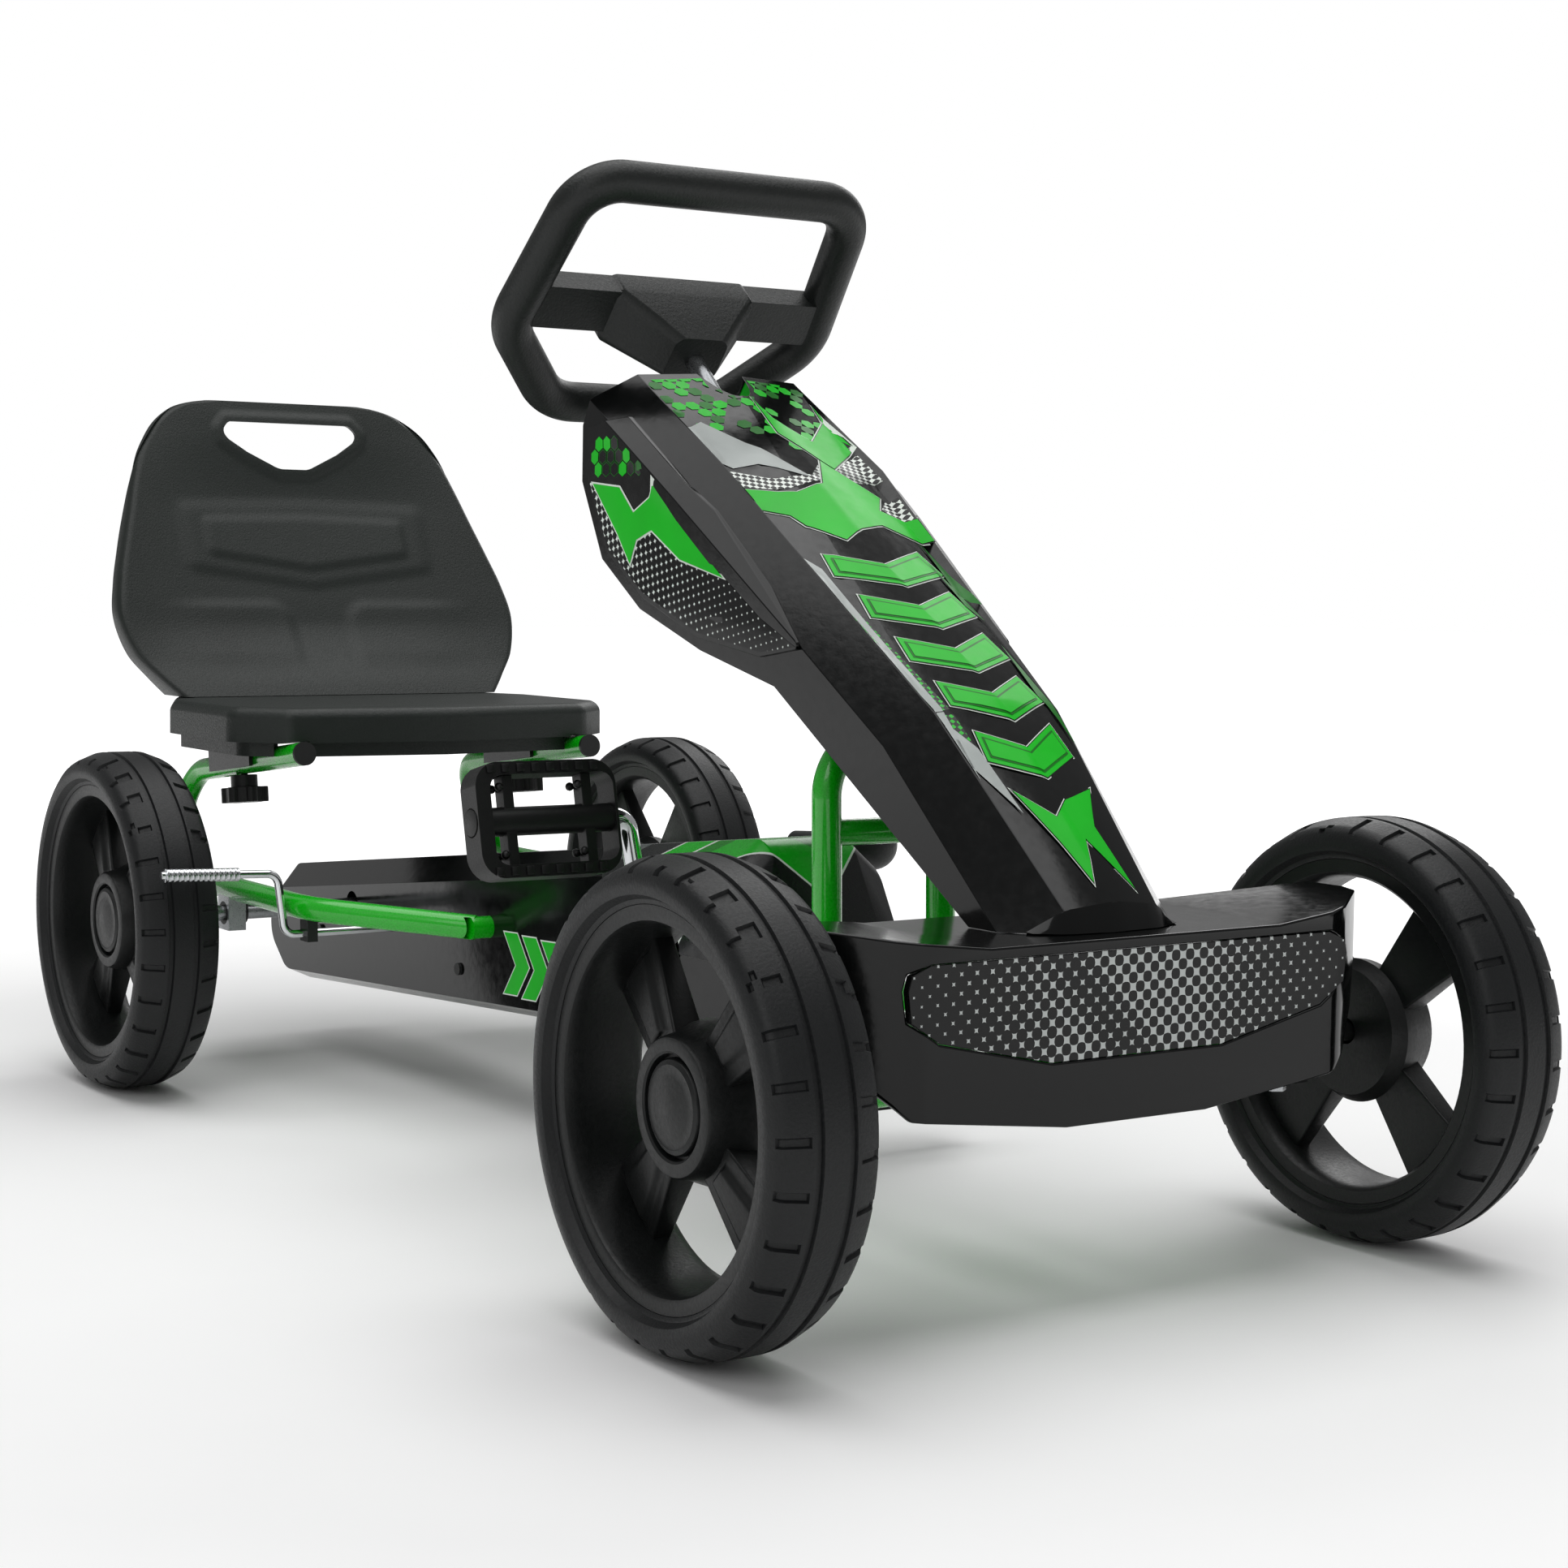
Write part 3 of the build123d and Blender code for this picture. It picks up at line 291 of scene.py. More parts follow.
# The real ridges are about 1.5 mm apart, too fine to show, so these are drawn about 3 mm apart.
ridges, ridge_scale, ridge_lean = [], 1000 / 1.5 / 6.28, 0.7
for lean in (ridge_lean, -ridge_lean):
    turned = add_node(tree, "Mapping", {"Vector": place, "Rotation": (0.0, 0.0, lean)})
    ridges.append(add_node(tree, "TexWave", {"Vector": turned.outputs[0], "Scale": ridge_scale},
                           bands_direction="Y"))
knurl = add_node(tree, "Math", {0: ridges[0].outputs["Fac"], 1: ridges[1].outputs["Fac"]},
                 operation="MULTIPLY")
knurl_bump = add_node(tree, "Bump", {"Height": knurl.outputs[0], "Strength": 0.6,
                                     "Distance": 0.0006})
tree.links.new(knurl_bump.outputs[0], tree.nodes["Principled BSDF"].inputs["Normal"])
coat_nodes(knurled, "brake_sleeves")

# ---- Moulded shells.  Injection-moulded ABS in gloss black: the guard, the column fairing and
# the bumper.  Their edges are rounded, as a moulding's are.
gloss_black = surface("gloss_black_abs", "#050606", "#080909", 0.13, 6.0, 0.015, patch_mm=150,
                      rough_swing=0.03, shine=0.28)


def softened(node, width_mm, segments=3):
    """A copy of a CAD moulding with its edges rounded."""
    flat_angle, edge_angle, weld = math.radians(6), math.radians(28), 0.00002
    start_clean()
    source = nodes[node]
    piece = source.copy()
    piece.data = source.data.copy()
    piece.name = node + "_moulding"
    piece.parent = None
    bpy.context.collection.objects.link(piece)
    piece.select_set(True)
    bpy.context.view_layer.objects.active = piece
    bpy.ops.object.mode_set(mode="EDIT")
    bpy.ops.mesh.select_all(action="SELECT")
    bpy.ops.mesh.remove_doubles(threshold=weld)
    bpy.ops.mesh.dissolve_limited(angle_limit=flat_angle)
    bpy.ops.object.mode_set(mode="OBJECT")
    bevel = piece.modifiers.new("edges", "BEVEL")
    bevel.width, bevel.segments, bevel.limit_method = width_mm / 1000, segments, "ANGLE"
    bevel.angle_limit = edge_angle
    bpy.ops.object.modifier_apply(modifier="edges")
    smooth(piece, 40)
    flats = piece.modifiers.new("flats", "WEIGHTED_NORMAL")
    flats.keep_sharp = True
    bpy.ops.object.modifier_apply(modifier="flats")
    return piece


shells = {}
for shell, width in (("right_guard_shell", 1.8), ("left_guard_shell", 1.8), ("shroud_shell", 3.0),
                     ("bumper_shell", 1.6)):
    piece = softened(shell, width)
    shells[shell] = finished(piece, gloss_black, "frame", "gloss_black_plastic", shell)

# ---- Fairing foot.  A black moulded lip, clipped on, that closes the fairing's lower end
# against the top of the bumper.
foot_half, arch_half, foot_low, foot_front, bumper_top = 50.0, 32, 205.3, 858.4, 205.2
start_clean()
bpy.ops.mesh.primitive_grid_add(x_subdivisions=14, y_subdivisions=2, size=2)
foot = bpy.context.object
foot.name = "fairing_foot_lip"
for vertex in foot.data.vertices:
    y = vertex.co.x * foot_half
    if abs(y) > arch_half:
        rise = max(0.0, (foot_half - abs(y)) * 0.66)
    else:
        rise = 11.9 + (arch_half - abs(y)) * 0.11
    top = foot_low + min(15.2, rise)
    edge = foot_front + (top - foot_low) * 0.75
    drop = (1 - vertex.co.y) / 2
    bulge = 5.0 * math.sin(drop * math.pi / 2)
    vertex.co = placed(edge + bulge, y, top + (bumper_top - top) * drop)
wall = foot.modifiers.new("wall", "SOLIDIFY")
wall.thickness, wall.offset = 0.002, 0.0
bpy.ops.object.modifier_apply(modifier="wall")
bpy.ops.object.mode_set(mode="EDIT")
bpy.ops.mesh.select_all(action="SELECT")
bpy.ops.mesh.normals_make_consistent(inside=False)
bpy.ops.object.mode_set(mode="OBJECT")
finished(smooth(foot, 40), gloss_black, "frame", "gloss_black_plastic")

# ---- Printed films.  Vinyl laid on the shells: bright and deep green, silver and white, cut to
# plain angular shapes.  The films stand 0.16 to 1.3 mm off the moulding, more than real vinyl
# would, so that the layers stay apart.
def film_ink(name, light, dark, rough, metallic=0.0):
    return surface(name, light, dark, rough + 0.1, 8.0, 0.01, metallic=metallic, patch_mm=45,
                   rough_swing=0.04, shine=0.22)


green_ink = film_ink("bright_green_film", "#06C41A", "#04A813", 0.24)
deep_green_ink = film_ink("deep_green_film", "#067A10", "#04540A", 0.24)
silver_ink = film_ink("silver_film", "#B5BAB8", "#7E8482", 0.24, 0.3)
white_ink = film_ink("white_film", "#EDF3ED", "#C9D6CA", 0.22)
dark_ink = film_ink("black_film", "#0B0C0C", "#131515", 0.16)

fairing_slope = math.radians(37)
fairing_out = Vector((math.sin(fairing_slope), 0, math.cos(fairing_slope)))
fairing_head_x, fairing_head_z, head_margin = 428.0, 540.0, 40.0
fairing_flat = ((0, 60), (135, 60), (280, 52), (378, 44), (510, 32))
wing_clear, wing_inner = 130, 82


def between(table, spot):
    """A value read from a table of (place, value) pairs."""
    for (low, first), (high, second) in zip(table, table[1:]):
        if spot <= high:
            return first + (second - first) * (spot - low) / (high - low)
    return table[-1][1]


def skin_of(piece):
    return BVHTree.FromPolygons([v.co.copy() for v in piece.data.vertices],
                                [f.vertices[:] for f in piece.data.polygons])


def laid(skin, start, aim, lift):
    """The point where a straight line meets a skin, lifted off it by lift millimetres."""
    spot = skin.ray_cast(start, aim)[0]
    return None if spot is None else spot - aim * (lift / 1000)


def on_fairing(down, across, lift):
    """A point of the fairing's face: mm down from its top, and -1 to 1 across it."""
    down = max(6.0, down)
    x = fairing_head_x + (down + head_margin) * math.cos(fairing_slope)
    z = fairing_head_z - (down + head_margin) * math.sin(fairing_slope)
    start = placed(x, across * between(fairing_flat, down) * 0.97, z) + fairing_out * 0.2
    return laid(fairing_skin, start, -fairing_out, lift) or start - fairing_out * 0.19


def on_wing(x, z, side, lift):
    """A point of a wing panel's face."""
    start = placed(x, side * wing_clear, z)
    return laid(wing_skin, start, Vector((0, -side, 0)), lift) or placed(x, side * wing_inner, z)


def film(name, shapes, put, cuts, material):
    """Flat outlines, cut where the shell bends, then laid on it point by point."""
    points, faces = [], []
    for shape in shapes:
        faces.append(list(range(len(points), len(points) + len(shape))))
        points += [(a, b, 0.0) for a, b in shape]
    mesh = bpy.data.meshes.new(name)
    mesh.from_pydata(points, [], faces)
    piece = bpy.data.objects.new(name, mesh)
    bpy.context.collection.objects.link(piece)
    start_clean()
    piece.select_set(True)
    bpy.context.view_layer.objects.active = piece
    bpy.ops.object.mode_set(mode="EDIT")
    bpy.ops.mesh.select_all(action="SELECT")
    bpy.ops.mesh.quads_convert_to_tris()
    for spot, normal in cuts:
        bpy.ops.mesh.select_all(action="SELECT")
        bpy.ops.mesh.bisect(plane_co=spot, plane_no=normal)
    bpy.ops.object.mode_set(mode="OBJECT")
    for vertex in mesh.vertices:
        vertex.co = put(vertex.co.x, vertex.co.y)
    bpy.ops.object.mode_set(mode="EDIT")
    bpy.ops.mesh.select_all(action="SELECT")
    bpy.ops.mesh.normals_make_consistent(inside=False)
    bpy.ops.object.mode_set(mode="OBJECT")
    out = Vector((0.6, 0, 0.8)) if "fairing" in name else Vector((0, -1 if "right" in name else 1, 0))
    if sum(face.normal.dot(out) * face.area for face in mesh.polygons) < 0:
        mesh.flip_normals()
    return finished(smooth(piece, 40), material, "frame", "gloss_black_plastic")


def grown(shape, by, stretch):
    """An outline moved outwards by a few millimetres; stretch is mm per unit along each axis."""
    scaled = [Vector((a * stretch[0], b * stretch[1])) for a, b in shape]
    turn = sum(p.x * q.y - q.x * p.y for p, q in zip(scaled, scaled[1:] + scaled[:1]))
    sense = 1 if turn > 0 else -1
    moved = []
    for before, here, after in zip(scaled[-1:] + scaled[:-1], scaled, scaled[1:] + scaled[:1]):
        first, second = (here - before).normalized(), (after - here).normalized()
        normals = [Vector((d.y, -d.x)) * sense for d in (first, second)]
        middle = (normals[0] + normals[1]).normalized()
        reach = by / max(0.35, middle.dot(normals[0]))
        moved.append(here + middle * reach)
    return [(p.x / stretch[0], p.y / stretch[1]) for p in moved]


def hexagon(a, b, radius, stretch):
    corners = []
    for index in range(6):
        turn = math.radians(30 + 60 * index)
        corners.append((a + radius * math.cos(turn) / stretch[0],
                        b + radius * math.sin(turn) / stretch[1]))
    return corners


fairing_skin = skin_of(shells["shroud_shell"])
fairing_cuts = [((0, step / 10, 0), (0, 1, 0)) for step in range(-9, 10)]
fairing_cuts += [((step * 12.0, 0, 0), (1, 0, 0)) for step in range(1, 43)]
face_stretch, cell_stretch = (1.0, 55.0), (1.0, 58.0)
cell_pitch, row_pitch, first_row, cell_radius = 9.8, 8.4, 5, 5.1
chance = random.Random(7)
bright_cells, deep_cells = [], []
for row in range(14):
    for column in range(-7, 8):
        down = first_row + row * row_pitch
        across = (column * cell_pitch + (cell_pitch / 2 if row % 2 else 0)) / cell_stretch[1]
        fill = 0.68 - row * 0.05
        if abs(across) < 0.93 and chance.random() < fill and not (row > 7 and across < -0.2):
            kept = bright_cells if chance.random() < 0.62 else deep_cells
            kept.append(hexagon(down, across, cell_radius, cell_stretch))
hook = [(34, 0.10), (56, 0.16), (80, 0.50), (52, 0.92), (30, 0.98), (86, 0.99), (112, 0.48)]
hook += [(76, 0.06)]
shard = [(66, -0.99), (58, -0.74), (92, -0.30), (128, 0.02), (108, -0.46), (112, -0.80)]
shard += [(98, -0.99)]
star = [(134, -0.99), (143, -0.30), (134, 0.10), (104, 0.36), (142, 0.80), (158, 0.64)]
star += [(172, 0.99), (196, 0.99), (176, 0.50), (184, 0.12), (196, -0.20), (178, -0.52)]
star += [(166, -0.60), (156, -0.99)]
blocks = []
for index in range(5):
    top = 208 + index * 43
    blocks.append([(top, -0.62), (top + 16, 0.02), (top - 4, 0.70), (top + 20, 0.82),
                   (top + 38, 0.08), (top + 22, -0.70)])
arrow = [(424, -0.62), (446, -0.16), (434, 0.18), (424, 0.82), (452, 0.50), (496, 0.66)]
arrow += [(462, 0.14), (492, -0.20), (462, -0.36)]
streaks = [[(200, -0.98), (222, -0.78), (360, -0.86), (414, -0.98)],
           [(372, -0.94), (392, -0.72), (440, -0.66), (404, -0.98)]]
thorns = [[(196, 0.86), (262, 0.99), (250, 0.80)], [(300, 0.86), (392, 0.99), (352, 0.80)],
          [(214, 0.74), (276, 0.90), (262, 0.78)]]
big_green = [hook, star] + blocks + [arrow]


def all_grown(shapes, by):
    return [grown(shape, by, face_stretch) for shape in shapes]


for name, shapes, lift, ink in (
        ("fairing_white_outlines", all_grown(big_green, 1.3), 0.30, white_ink),
        ("fairing_black_outlines", all_grown(big_green, 0.6), 0.55, dark_ink),
        ("fairing_green_shapes", big_green, 0.80, green_ink),
        ("fairing_deep_green_shapes", all_grown(blocks, -3.2) + thorns, 1.05, deep_green_ink),
        ("fairing_bright_cores", all_grown(blocks, -4.6), 1.30, green_ink),
        ("fairing_silver_shapes", [shard] + streaks, 0.36, silver_ink),
        ("fairing_bright_cells", bright_cells, 0.26, green_ink),
        ("fairing_deep_cells", deep_cells, 0.26, deep_green_ink)):
    film(name, shapes, lambda a, b: on_fairing(a, b, lift), fairing_cuts, ink)


def dot_screen(name, ink, paper, pitch_mm, turn, axes, fade_axis, fade_from, fade_to, big, small,
               star_power=0.62):
    """A print screen of four-pointed stars on a square grid, shrinking along one axis."""
    material = surface(name, paper, paper, 0.22, 8.0, 0.01, rough_swing=0.03, shine=0.28)
    tree = material.node_tree
    shader = tree.nodes["Principled BSDF"]
    place = add_node(tree, "Mapping", {"Vector": add_node(tree, "TexCoord").outputs["Object"],
                                       "Rotation": turn})
    parts = add_node(tree, "SeparateXYZ", {0: place.outputs[0]})
    powers = []
    for axis in axes:
        cell = add_node(tree, "Math", {0: parts.outputs[axis], 1: 1000 / pitch_mm},
                        operation="MULTIPLY")
        wrapped = add_node(tree, "Math", {0: cell.outputs[0], 1: 1.0}, operation="FLOORED_MODULO")
        centred = add_node(tree, "Math", {0: wrapped.outputs[0], 1: 0.5}, operation="SUBTRACT")
        distance = add_node(tree, "Math", {0: centred.outputs[0]}, operation="ABSOLUTE")
        powers.append(add_node(tree, "Math", {0: distance.outputs[0], 1: star_power},
                               operation="POWER"))
    metric = add_node(tree, "Math", {0: powers[0].outputs[0], 1: powers[1].outputs[0]},
                      operation="ADD")
    size = add_node(tree, "MapRange", {0: parts.outputs[fade_axis], 1: fade_from, 2: fade_to,
                                       3: big, 4: small})
    inked = add_node(tree, "Math", {0: metric.outputs[0], 1: size.outputs[0]},
                     operation="LESS_THAN")
    shade = add_node(tree, "Mix", {0: inked.outputs[0], 6: linear(paper), 7: linear(ink)},
                     data_type="RGBA")
    tree.links.new(shade.outputs[2], shader.inputs["Base Color"])
    return material


mesh_band = dot_screen("white_mesh_print", "#E8EEE8", "#0B0C0C", 4.4, (0.0, -fairing_slope, 0.35),
                       ("X", "Y"), "Y", -0.06, 0.06, 0.60, 0.60, star_power=0.8)
band = [(112, -0.98), (126, -0.40), (124, 0.06), (92, 0.98), (126, 0.98), (100, 0.42)]
band += [(130, 0.10), (138, -0.36), (132, -0.98)]
band_right = [(146, 0.98), (176, 0.98), (156, 0.70), (146, 0.84)]
film("fairing_mesh_band", [band, band_right], lambda a, b: on_fairing(a, b, 0.22), fairing_cuts,
     mesh_band)
green_dots = dot_screen("green_dot_print", "#0FB41C", "#0B0C0C", 4.0, (0.0, -fairing_slope, 0.3),
                        ("X", "Y"), "X", 0.1, 0.4, 0.42, 0.42, star_power=1.0)
dot_strip = [(262, -0.98), (268, -0.80), (392, -0.74), (408, -0.9), (370, -0.98)]
film("fairing_dot_strip", [dot_strip], lambda a, b: on_fairing(a, b, 0.24), fairing_cuts,
     green_dots)

# ---- Wing panels.  Printed plates fixed to both sides of the fairing's head, with a honeycomb
# above, a two-pointed green arrow across the middle and a screen of stars fading out below.
centre_to_axle = 347.5
stars = dot_screen("star_screen_print", "#DDE5DF", "#060707", 5.2, (0.0, math.radians(12), 0.0),
                   ("X", "Z"), "X", (470 - centre_to_axle) / 1000, (680 - centre_to_axle) / 1000,
                   0.82, 0.36)
wing_outline = [(484, 489), (520, 467), (581, 430), (638, 387), (677, 352), (640, 347), (576, 357)]
wing_outline += [(518, 380), (474, 408), (449, 455), (449, 484)]
screen = [(449, 451), (474, 409), (518, 381), (576, 358), (640, 348), (675, 352), (640, 368)]
screen += [(585, 402), (540, 432), (505, 432), (480, 444)]
pointer = [(454, 450), (486, 447), (503, 431), (520, 440), (525, 452), (554, 424), (602, 391)]
pointer += [(556, 402), (524, 420), (508, 414), (502, 399), (486, 418)]
wing_cuts = [((step * 16.0, 0, 0), (1, 0, 0)) for step in range(27, 44)]
wing_cuts += [((0, step * 12.0, 0), (0, 1, 0)) for step in range(28, 42)]
wing_sides = list(zip(wing_outline, wing_outline[1:] + wing_outline[:1]))
wing_pitch, wing_row, wing_cell, flat_round_cell, edge_margin = 9.4, 8.1, 4.9, 6.5, 6
for hand, side in (("right", -1), ("left", 1)):
    panel = softened(hand + "_wing_panel", 1.0, segments=2)
    finished(panel, gloss_black, "frame", "gloss_black_plastic", hand + "_wing_panel")
    wing_skin = skin_of(panel)
    cells, outlines = [], []
    dice = random.Random(11)
    for row in range(16):
        for column in range(28):
            x = 446 + column * wing_pitch + (wing_pitch / 2 if row % 2 else 0)
            z = 402 + row * wing_row
            crossings = [x < (q[0] - p[0]) * (z - p[1]) / (q[1] - p[1]) + p[0]
                         for p, q in wing_sides if (p[1] > z) != (q[1] > z)]
            inside = sum(crossings) % 2
            edge = min(math.hypot(x - p[0], z - p[1]) for p in wing_outline)
            above = z > 455 - max(0, x - 520) * 0.62
            around = hexagon(x, z, flat_round_cell, (1, 1))
            starts = [placed(a, side * wing_clear, b) for a, b in around]
            hits = [wing_skin.ray_cast(start, Vector((0, -side, 0)))[1] for start in starts]
            flat = all(hit is not None and abs(hit.y) > 0.85 for hit in hits)
            if inside and above and edge > edge_margin and flat:
                kept = cells if dice.random() < 0.5 else outlines
                kept.append(hexagon(x, z, wing_cell, (1, 1)))
    cores = [[(c[0] * 0.9 + sum(p[0] for p in s) / 60, c[1] * 0.9 + sum(p[1] for p in s) / 60)
              for c in s] for s in outlines]
    for part, shapes, lift, ink in (
            ("cells", cells, 0.24, green_ink), ("cell_rings", outlines, 0.16, deep_green_ink),
            ("cell_cores", cores, 0.24, dark_ink), ("stars", [screen], 0.20, stars),
            ("pointer_edge", [grown(pointer, 1.2, (1, 1))], 0.28, white_ink),
            ("pointer", [pointer], 0.62, green_ink)):
        film(hand + "_wing_" + part, shapes, lambda a, b: on_wing(a, b, side, lift), wing_cuts, ink)

# ---- Bumper panel.  A printed plate let into the bumper: silver stars that shrink towards both
# ends, with a darker band leaning across the middle.
panel_print = dot_screen("bumper_star_print", "#B9BEBC", "#060707", 7.0,
                         (math.radians(45), 0.0, 0.0), ("Y", "Z"), "X", 0.5, 0.6, 1.0, 1.0)
tree = panel_print.node_tree
place = add_node(tree, "SeparateXYZ", {0: add_node(tree, "TexCoord").outputs["Object"]})
spread = add_node(tree, "Math", {0: place.outputs["Y"]}, operation="ABSOLUTE")
lean = add_node(tree, "Math", {0: place.outputs["Z"], 1: 0.9, 2: place.outputs["Y"]},
                operation="MULTIPLY_ADD")
off_band = add_node(tree, "Math", {0: lean.outputs[0], 1: 0.125}, operation="SUBTRACT")
band_gap = add_node(tree, "Math", {0: off_band.outputs[0]}, operation="ABSOLUTE")
end_size = add_node(tree, "MapRange", {0: spread.outputs[0], 1: 0.040, 2: 0.150,
                                       3: 0.72, 4: 0.30})
band_size = add_node(tree, "MapRange", {0: band_gap.outputs[0], 1: 0.006, 2: 0.030,
                                        3: 0.52, 4: 0.80})
star_size = add_node(tree, "Math", {0: end_size.outputs[0], 1: band_size.outputs[0]},
                     operation="MINIMUM")
for node in tree.nodes:
    if node.type == "MATH" and node.operation == "LESS_THAN":
        tree.links.new(star_size.outputs[0], node.inputs[1])
panel = softened("bumper_panel", 0.4, segments=2)
finished(panel, panel_print, "frame", "gloss_black_plastic", "bumper_panel")

# ---- Guard nose cover.  A printed cap over the front of the chain guard: green chevrons with
# fine white edges on a charcoal ground.
nose_print = surface("chevron_print", "#2A2D2C", "#1A1C1B", 0.26, 8.0, 0.01, shine=0.28)
tree = nose_print.node_tree
shader = tree.nodes["Principled BSDF"]
place = add_node(tree, "SeparateXYZ", {0: add_node(tree, "TexCoord").outputs["Object"]})
spread = add_node(tree, "Math", {0: place.outputs["Y"]}, operation="ABSOLUTE")
drop = add_node(tree, "Math", {0: place.outputs["Z"], 1: -0.8, 2: 0.18}, operation="MULTIPLY_ADD")
wrap = add_node(tree, "Math", {0: drop.outputs[0], 1: 0.0}, operation="MAXIMUM")
reach = add_node(tree, "Math", {0: spread.outputs[0], 1: 1.3, 2: place.outputs["X"]},
                 operation="MULTIPLY_ADD")
total = add_node(tree, "Math", {0: reach.outputs[0], 1: wrap.outputs[0]}, operation="ADD")
along = add_node(tree, "MapRange", {0: total.outputs[0], 1: 0.10, 2: 0.32})
steps = add_node(tree, "ValToRGB", {0: along.outputs[0]})
ramp = steps.color_ramp
ramp.interpolation = "CONSTANT"
for spot, code in ((0.0, "#3A3E3D"), (0.10, "#5E6462"), (0.17, "#1C1F1E"), (0.34, "#E8EEE8"),
                   (0.352, "#0CB81A"), (0.50, "#E8EEE8"), (0.512, "#0A8A14"), (0.60, "#0CB81A"),
                   (0.80, "#E8EEE8"), (0.812, "#18191A")):
    stop = ramp.elements.new(spot) if spot else ramp.elements[0]
    stop.color = linear(code)
ramp.elements.remove(ramp.elements[-1])
tree.links.new(steps.outputs[0], shader.inputs["Base Color"])
nose = softened("guard_nose_cover", 1.0, segments=2)
finished(nose, nose_print, "frame", "gloss_black_plastic", "guard_nose_cover")

# ---- Guard side graphic.  Three green film arrowheads in a row, with fine light edges, on
# the side of each guard shell.
arrowheads = [[(x, 92), (x + 20, 93), (x + 38, 115), (x + 20, 137), (x, 136), (x + 18, 114)]
              for x in (262, 290, 318)]
guard_clear, guard_inner = 90, 50


def on_guard(x, z, side, lift):
    """A point of a guard shell's side."""
    start = placed(x, side * guard_clear, z)
    return laid(guard_skin, start, Vector((0, -side, 0)), lift) or placed(x, side * guard_inner, z)


for hand, side in (("right", -1), ("left", 1)):
    guard_skin = skin_of(shells[hand + "_guard_shell"])
    for part, by, lift, ink in (("edges", 1.0, 0.2, white_ink), ("heads", 0.0, 0.32, green_ink)):
        shapes = [grown(shape, by, (1, 1)) for shape in arrowheads]
        film(hand + "_guard_arrow_" + part, shapes, lambda a, b: on_guard(a, b, side, lift), [], ink)

# ---- Seat base.  A thick blow-moulded pan in dark grey-green plastic with a soft leather-like
# grain, its edges well rounded.
seat_plastic = surface("grained_seat_plastic", "#1C221F", "#161B18", 0.46, 1.6, 0.35, patch_mm=110,
                       shine=0.36)
pan = softened("seat_base", 3.0, segments=4)
finished(pan, seat_plastic, "seat", "seat_plastic", "seat_base")

# ---- Seat back.  A hollow blow-moulded back, slightly dished, with a grip opening, a raised
# panel over the small of the back and two lower lobes.
back_low, back_high, dish_mm, front_roll, rear_roll = 288.4, 536.8, 13, 6.5, 3.5
back_half_width = ((288, 142), (302, 155), (322, 171), (352, 179.6), (380, 176), (407, 168),
                   (436, 158.5), (463, 150), (487, 141), (505, 130), (516, 121), (525, 110),
                   (531, 99), (535, 84), (537, 70))
back_front = ((288, -123), (318, -146), (372, -173), (436, -204), (511, -240), (537, -251))
back_rear = ((288, -170), (309, -176), (372, -194), (436, -223), (505, -240), (520, -248),
             (537, -262))
grip = [(62, 512), (56, 519), (-56, 519), (-62, 512), (-60, 505), (-42, 493), (-14, 479)]
grip += [(14, 479), (42, 493), (60, 505)]


def curved(table, spot):
    """A value read from a table of (place, value) pairs, along a smooth curve."""
    index = max(i for i in range(len(table) - 1) if i == 0 or table[i][0] <= spot)
    slopes = []
    for here in (index, index + 1):
        low, high = table[max(0, here - 1)], table[min(len(table) - 1, here + 1)]
        slopes.append((high[1] - low[1]) / (high[0] - low[0]))
    (low, first), (high, second) = table[index], table[index + 1]
    span = high - low
    t = (spot - low) / span
    return ((1 + 2 * t) * (1 - t) ** 2 * first + t * (1 - t) ** 2 * span * slopes[0]
            + t * t * (3 - 2 * t) * second + t * t * (t - 1) * span * slopes[1])


def grip_distance(y, z):
    """How far a point of the back is from the edge of the grip opening, in mm."""
    spot, found = Vector((y, z)), []
    for first, second in zip(grip, grip[1:] + grip[:1]):
        side, begin = Vector(second) - Vector(first), Vector(first)
        part = min(1.0, max(0.0, (spot - begin).dot(side) / side.length_squared))
        found.append((spot - begin - side * part).length)
    return min(found)


def ease(value, low, high):
    t = min(1.0, max(0.0, (value - low) / (high - low)))
    return t * t * (3 - 2 * t)


def back_relief(y, z):
    """How far the front face stands out, in mm, at a point of the back."""
    bead = 2.2 * ease(11 - grip_distance(y, z), 0, 7) if z > 462 else 0.0
    y = abs(y)
    roof, floor = 456 - 0.03 * y, 388 + 0.14 * y
    panel = ease(118 - y, 0, 16) * ease(roof - z, 0, 12) * ease(z - floor + 15, 0, 11)
    core = ease(94 - y, 0, 7) * ease(roof - 15 - z, 0, 6) * ease(z - floor - 2, 0, 7)
    shoulder = math.hypot(max(0.0, 46 - y), max(0.0, z - 346))
    lobe = ease(24 - shoulder, 0, 9) * ease(150 - y, 0, 60) * ease(372 - z, 0, 12) * ease(z - 306, 0, 20)
    return bead + 1.7 * panel + 1.7 * core + 2.0 * lobe


def rolled(distance, radius):
    """How far a rounded edge falls back at a distance in from it."""
    return radius - math.sqrt(radius ** 2 - max(0.0, radius - distance) ** 2)


def dished(share, z):
    """How far the back is hollowed, in mm, at a share of its half width."""
    return dish_mm * (1 - share * share) * ease(z, 296, 350) * ease(500 - z, -30, 60)


